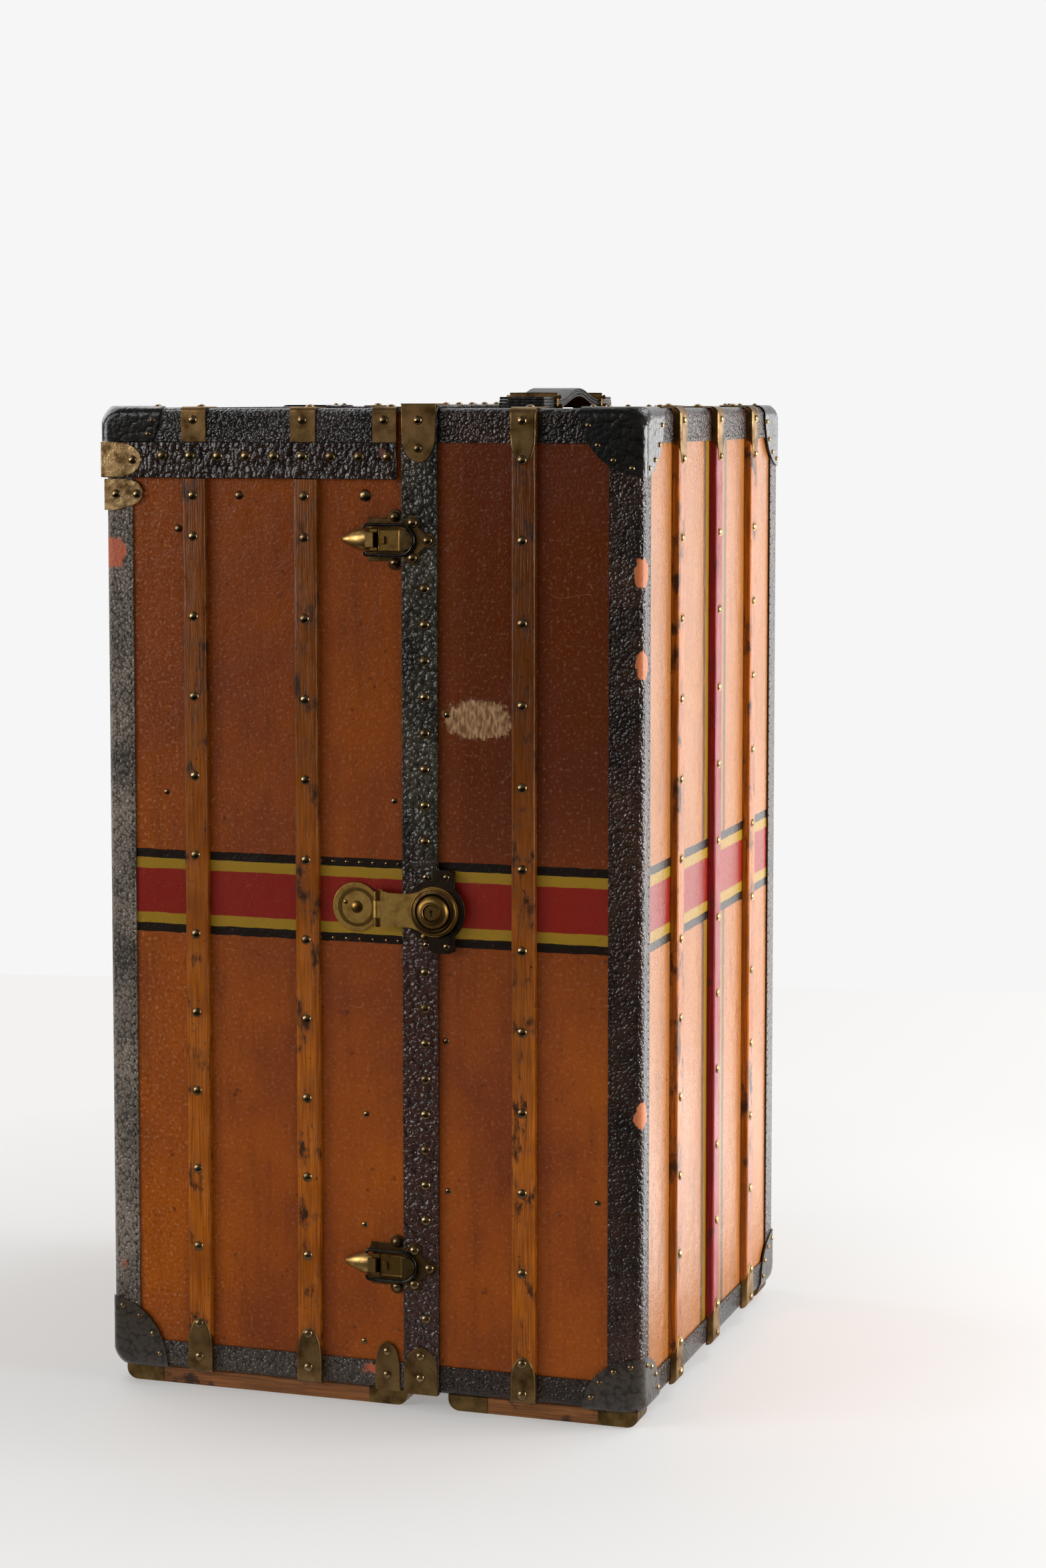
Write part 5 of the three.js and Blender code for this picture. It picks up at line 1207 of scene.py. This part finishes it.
# %% [markdown]
# ## Hasp lock
# A round plate carries a three-knuckle hinge, a wide strap reaches over the band and ends in a ring,
# and the lock's round boss comes up through it. The ring and boss are turned shapes, so each is a
# profile spun about the lock's axis.

# %% Hasp plate and hinge
LOCK_Z, LOCK_HINGE, LOCK_REACH = 571, BAND_LEFT - 29.3, 68.3
KNUCKLE_RADIUS, KNUCKLE_LIFT = 4.5, 8.5
lock_spot = face("front", LOCK_HINGE, LOCK_Z)
lock_place = lock_spot @ Matrix.Translation((LOCK_REACH, 0, 0))


def turned(profile, steps=56):
    """A profile of radius and height, spun about the Y axis and closed."""
    bm = bmesh.new()
    verts = [bm.verts.new((radius, -height, 0)) for radius, height in profile]
    hollow = profile[0][0] > 0.01 and profile[-1][0] > 0.01
    chain = [bm.edges.new(pair) for pair in zip(verts, verts[1:] + (verts[:1] if hollow else []))]
    bmesh.ops.spin(bm, geom=verts + chain, cent=(0, 0, 0), axis=(0, 1, 0), dvec=(0, 0, 0),
                   angle=math.radians(360), steps=steps, use_merge=True)
    bmesh.ops.remove_doubles(bm, verts=bm.verts, dist=0.005)
    return bm


disc = bmesh.new()
disc_outline = circle_points(-27.5, 0, 28, 42, 318, 40) + [(-3.5, -20), (4.5, -21), (4.5, 21), (-3.5, 20)]
outline_plate(disc, disc_outline[::-1], 0.3, 2.7)
make_piece("hasp_plate", placed(disc, lock_spot), "hanging_half", lock_brass, bevel=0.7,
           replaces=("hasp_base",))
ring_step = turned([(18.5, 2.6), (22.2, 2.6), (22.2, 3.3), (18.5, 3.3)])
dome = turned([(0, 5.6), (3.2, 5.2), (5.8, 4.1), (7.2, 2.6), (7.4, 2.2), (0, 2.2)])
small_rivet = turned([(0, 3.9), (1.6, 3.6), (2.6, 2.9), (2.7, 2.4), (0, 2.4)], 16)
barrel = bmesh.new()
for start, end in ((-20, -10), (10, 20)):
    rod(barrel, KNUCKLE_RADIUS, end - start, Matrix.Translation((0, -KNUCKLE_LIFT, (start + end) / 2)))
    box(barrel, (-KNUCKLE_RADIUS, KNUCKLE_RADIUS), (-KNUCKLE_LIFT, -0.4), (start, end))
trim = bmesh.new()
for form, x, z in ((ring_step, -26.7, 0), (dome, -26.7, 0), (small_rivet, -40, 5), (barrel, 0, 0)):
    stamp(trim, form, lock_spot @ Matrix.Translation((x, 0, z)))
make_piece("hasp_hinge_trim", trim, "hanging_half", latch_brass)

# %% Hasp strap, bored for the boss
BORE = 20.4
strap = bmesh.new()
outline = [(5.2, -21), (10, -20.4), (14, -18.9), (34, -18.7), (42, -19.2), (47.5, -21)]
outline += circle_points(LOCK_REACH, 0, 28, 231, 489, 44) + [(x, -z) for x, z in reversed(outline)]
outline_plate(strap, outline, 9.6, 12.6)
rod(strap, KNUCKLE_RADIUS, 19.4, Matrix.Translation((0, -KNUCKLE_LIFT, 0)))
box(strap, (0, 5.5), (-12.6, -9.6), (-9.7, 9.7))
strap_piece = make_piece("hasp_strap", placed(strap, lock_spot), "hasp", lock_brass,
                         replaces=("hasp",))
bore = bmesh.new()
rod(bore, BORE, 40, TO_FRAME @ lock_place @ Matrix.Translation((0, -8, 0)) @ LIE_FLAT, 64)
cut_by(strap_piece, bore, "DIFFERENCE")
finish(strap_piece.data, lock_brass, 32)
hasp_rim = turned([(BORE, 9.7), (24.8, 9.7), (24.8, 13.9), (23.6, 14.3), (21.2, 14.9), (BORE, 14.4)])
outer_bead = turned([(24.5, 12.5), (26.8, 12.5), (27.0, 13.6), (26.4, 14.7), (25.4, 14.9), (24.6, 14.3)])
for name, form, metal in (("hasp_ring", hasp_rim, plate_brass), ("hasp_bead", outer_bead, latch_brass)):
    make_piece(name, placed(form, lock_place), "hasp", metal)

# %% Lock case, boss and plug
case_plate = bmesh.new()
outline = [(-3, -47), (18, -47), (24, -41), (24, -27)] + circle_points(0, 0, 36, -48, 48, 20)
outline += [(24, 27), (24, 41), (18, 47), (-3, 47)] + circle_points(0, 0, 36, 95, 265, 36)
outline_plate(case_plate, outline, 7.3, 9.3)
box(case_plate, (6, 22), (-9.2, -0.3), (-45, 45))
boss = turned([(9.4, 9.0), (18.6, 9.0), (19, 9.6), (19, 14.0), (18.6, 16.0), (17.4, 18.2), (15.4, 19.9),
               (13, 20.8), (11.3, 20.9), (11.0, 20.2), (10.6, 21.8), (9.9, 22.2), (9.4, 21.5)])
plug = turned([(0, 20.6), (8.2, 20.6), (8.9, 20.0), (8.9, 8), (0, 8)])
make_piece("lock_plate", placed(case_plate, lock_place), "drawer_half", hardware_iron,
           bevel=0.8, replaces=("lock_case",))
make_piece("lock_boss", placed(boss, lock_place), "drawer_half", latch_brass)
make_piece("lock_plug", placed(plug, lock_place), "lock_cylinder", latch_brass,
           replaces=("lock_cylinder",))
keyhole = bmesh.new()
rod(keyhole, 1.9, 0.5, lock_place @ Matrix.Translation((0, -20.5, 1.8)) @ LIE_FLAT, 16)
box(keyhole, (-0.9, 0.9), (-20.75, -20.25), (-4.4, 1.2), lock_place)
make_piece("lock_keyhole", keyhole, "lock_cylinder", hardware_iron)
for x, z in ((-10, -38), (-10, 38), (14, 39), (14, -39)):
    nail("drawer_half", lock_place, x, z, 9.1, 3.6, 1.8)

# %% [markdown]
# ## Top handle
# The handle is five straps of harness leather, stacked and stitched, that bow up when it is pulled.
# Each strap is a flat section carried along the same bow, a little apart from the next, so the edge
# shows its layers.

# %% Stacked handle
HANDLE_X, HANDLE_Y, HANDLE_HALF, HANDLE_WIDTH = 145, -64, 98, 54
STRAP_BASE = HEIGHT - CANVAS + 0.6 + 1.6 + 0.3
STRAP_PITCH, STRAP_SHEET = 2.0, 1.75
PAD_PITCH, PAD_SHEET, PAD_LENGTH = 3.2, 3.0, 36


def bow(y):
    """Height of the bow's underside at a distance from its middle."""
    flat = HANDLE_HALF - 26
    if abs(y) > flat:
        return 0.0
    return 13 * (0.5 + 0.5 * math.cos(math.pi * abs(y) / flat)) ** 0.8


handle = bmesh.new()
stations = [-HANDLE_HALF, -90, -80] + [-72 + 6 * i for i in range(25)] + [80, 90, HANDLE_HALF]
for layer in range(5):
    low = layer * STRAP_PITCH
    half = HANDLE_WIDTH / 2 - (0.5 if layer % 2 else 0)
    corners = ((-half, low), (half, low), (half, low + STRAP_SHEET), (-half, low + STRAP_SHEET))
    section = handle.faces.new([handle.verts.new((HANDLE_X + x, HANDLE_Y + stations[0], STRAP_BASE + z))
                                for x, z in corners])
    for i in range(1, len(stations)):
        grown = bmesh.ops.extrude_face_region(handle, geom=[section])["geom"]
        if i > 1:
            bmesh.ops.delete(handle, geom=[section], context="FACES_ONLY")
        moved = [v for v in grown if isinstance(v, bmesh.types.BMVert)]
        section = [f for f in grown if isinstance(f, bmesh.types.BMFace)][0]
        rise = bow(stations[i]) - bow(stations[i - 1])
        bmesh.ops.translate(handle, verts=moved, vec=(0, stations[i] - stations[i - 1], rise))
for side in (-1, 1):
    for layer in range(4):
        half, low = HANDLE_WIDTH / 2 - layer * 0.2, STRAP_BASE + layer * PAD_PITCH
        y = sorted((HANDLE_Y + side * (HANDLE_HALF - 0.5),
                    HANDLE_Y + side * (HANDLE_HALF + PAD_LENGTH - layer * 0.6)))
        box(handle, (HANDLE_X - half, HANDLE_X + half), y, (low, low + PAD_SHEET))
make_piece("handle_straps", handle, "drawer_half", handle_leather, bevel=0.5,
           replaces=("top_handle",))

# %% Handle loops
LOOP_Y, LOOP_FOOT = 88, HEIGHT - CANVAS + 1.2
loop_path = [(-33.5, 0.8), (-29.2, 0.8), (-28.9, 4), (-28.9, 11), (-27.6, 13.6), (0, 13.9)]
loop_path += [(-x, z) for x, z in reversed(loop_path[:-1])]
for number, y, node in ((1, HANDLE_Y - LOOP_Y, "handle_staple_front"),
                        (2, HANDLE_Y + LOOP_Y, "handle_staple_rear")):
    loop = bmesh.new()
    for (x0, z0), (x1, z1) in zip(loop_path, loop_path[1:]):
        run = Vector((x1 - x0, 0, z1 - z0))
        middle = Matrix.Translation((HANDLE_X + (x0 + x1) / 2, y, LOOP_FOOT + (z0 + z1) / 2))
        turn = run.to_track_quat("Z", "Y").to_matrix().to_4x4()
        rod(loop, 1.5, run.length + 1.4, middle @ turn @ Matrix.Diagonal((1, 3.4, 1, 1)), 14)
    make_piece(f"handle_loop_{number}", loop, "drawer_half", plate_brass, replaces=(node,))

# %% [markdown]
# ## Small trim
# Tacks run along the inner edge of every leather border, loose rivets hold the inner fittings, and
# brass clips protect the ends of the runners. These are the small things that make the trunk look
# used and handmade, and each sits where the photograph shows it. The tacks stray a little from their
# row, as hand-driven ones do.

# %% Tack rows
TACK_PITCH = 10.6
random.seed(7)


def tack_row(body, side, start, end, lift=2.4):
    (x0, z0), (x1, z1) = start, end
    count = max(int(math.hypot(x1 - x0, z1 - z0) / TACK_PITCH), 1)
    for i in range(count + 1):
        t = i / count
        x, z = x0 + (x1 - x0) * t, z0 + (z1 - z0) * t + random.uniform(-0.7, 0.7)
        nail(body, face(side, 0), x, z, lift, 1.5, 1.0, small=True)


for side, sign in (("front", 1), ("back", -1)):
    for body, start, end, lift in (
            ("drawer_half", (RIGHT - 36, 84), (RIGHT - 36, 1054), 2.4),
            ("drawer_half", (BAND_RIGHT + 6, 1096), (246, 1096), 2.4),
            ("drawer_half", (BAND_RIGHT + 6, 48), (250, 48), 2.4),
            ("hanging_half", (LEFT + 30, 100), (LEFT + 30, 1010), 2.4),
            ("hanging_half", (LEFT + 72, 48), (BAND_LEFT - 38, 48), 2.4),
            ("lid", (LEFT + 74, 1096), (5, 1096), 5.4)):
        tack_row(body, side, (sign * start[0], start[1]), (sign * end[0], end[1]), lift)
for start, end in (((FRONT + 23, 84), (FRONT + 23, 1054)), ((BACK - 34, 84), (BACK - 34, 1054)),
                   ((FRONT + 74, 1096), (BACK - 74, 1096)), ((FRONT + 72, 48), (BACK - 72, 48))):
    tack_row("drawer_half", "right", start, end)
print("tacks", sum(len(bm.verts) for bm in tacks.values()) // len(tack_form.verts))

# %% Loose rivets and lower seam brackets
for body, x, z, radius, rise in (
        ("hanging_half", -155.6, 1032, 5.2, 2.6), ("hanging_half", -3.9, 1033, 7.2, 3.6),
        ("hanging_half", -230.3, 993.6, 5, 2.5), ("hanging_half", -247.5, 692.3, 3.6, 1.8),
        ("hanging_half", 29.4, 692.1, 3.6, 1.8), ("hanging_half", -5.2, 334.4, 3.8, 1.9),
        ("hanging_half", -8, 207, 3.8, 1.9), ("hanging_half", -8.9, 72, 3.8, 1.9),
        ("drawer_half", 92.1, 790.8, 3.8, 2), ("drawer_half", 90.3, 423.5, 3.8, 2),
        ("drawer_half", 92.4, 253, 3.8, 2), ("drawer_half", 267.5, 252.6, 3.8, 2)):
    nail(body, face("front", 0), x, z, -0.2, radius, rise)
for x in (-60, -44, -28, -12, 4, 20, 34):
    for z in (621, 534):
        nail("hanging_half", face("front", 0), x, z, -0.1, 2.4, 1.5)
tongue = bmesh.new()
outline_plate(tongue, tongue_points(14.8, BASE, 75), 2.4, 3.9)
make_piece("seam_brackets_low", placed(tongue, face("front", 20.5), face("back", 20.5)), "hanging_half",
           clamp_brass, bevel=0.5)
for z in (64, 37):
    for side in ("front", "back"):
        nail("hanging_half", face(side, 20), 0, z, 3.6, 5, 3.2)

# %% Runners and their clips
RUNNER_ROUND, CLIP_LENGTH = 13, 46


def runner_form(x, y, z, rounded):
    """A bar whose lower corners are rounded at the named ends."""
    bm = bmesh.new()
    box(bm, x, y, z)
    bevel_edges(bm, [e for e in bm.edges if runs(e, 1) and max(v.co.z for v in e.verts) < 1
                     and min(abs(e.verts[0].co.x - end) for end in rounded) < 1], RUNNER_ROUND, 8)
    return bm


for half, body, (x0, x1) in (("hanging", "hanging_half", (-306, 41)), ("drawer", "drawer_half", (91, 313))):
    for node, y in (("runner_front", (-297, -261)), ("runner_rear", (261, 297))):
        make_piece(f"{half}_{node}_bar", runner_form((x0, x1), y, (0, 18.7), (x0, x1)), body, runner_wood,
                   bevel=1.2, replaces=(f"{half}_{node}",))
        start, end, clip_y = x0 - 0.6, x1 + 0.6, (y[0] - 0.9, y[1] + 0.9)
        clips = runner_form((start, x0 + CLIP_LENGTH), clip_y, (0.5, 18.6), (start,))
        stamp(clips, runner_form((x1 - CLIP_LENGTH, end), clip_y, (0.5, 18.6), (end,)))
        make_piece(f"{half}_{node}_clips", clips, body, plate_brass, bevel=0.4)

# %% Close the collected nails and clamps
for body in BODIES:
    make_piece(f"clamps_{body}", clamps[body], body, clamp_brass)
for body in BODIES:
    make_piece(f"nails_{body}", nails[body], body, nail_brass)
    make_piece(f"tacks_{body}", tacks[body], body, tack_iron)

# %% [markdown]
# ## Inside and behind
# The drawers, the rack and the shoe box are lined board, the hangers are beech on a brass rail, and
# the rear hinges are plain brass leaves. Their shapes are already right in the frame, so they only
# need their finishes.

# %% Finishes for the frame's own pieces
dress(("drawer_rack", "shoe_box", *[f"drawer_{i}" for i in range(1, 6)]), lining)
dress(("hanger_1", "hanger_2"), hanger_wood)
dress(("garment_rail", "hinge_fixed_upper", "hinge_fixed_lower", "hinge_moving_upper", "hinge_moving_lower"),
      plate_brass)

# %% [markdown]
# A large flat face beside a rounded edge is shaded as if it curved, because the corners share their
# normals. The Weighted Normal modifier gives the large faces their say, so that flat stays flat.

# %% Level the shading of flat faces
for piece in bpy.data.objects:
    if piece.type == "MESH" and piece not in frame["nodes"].values() and piece is not floor:
        piece.modifiers.new("flat_faces", "WEIGHTED_NORMAL").keep_sharp = True

# %% Print the sizes of what is shown
low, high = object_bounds()
print("visual", [round(v, 4) for v in (*low, *high)])
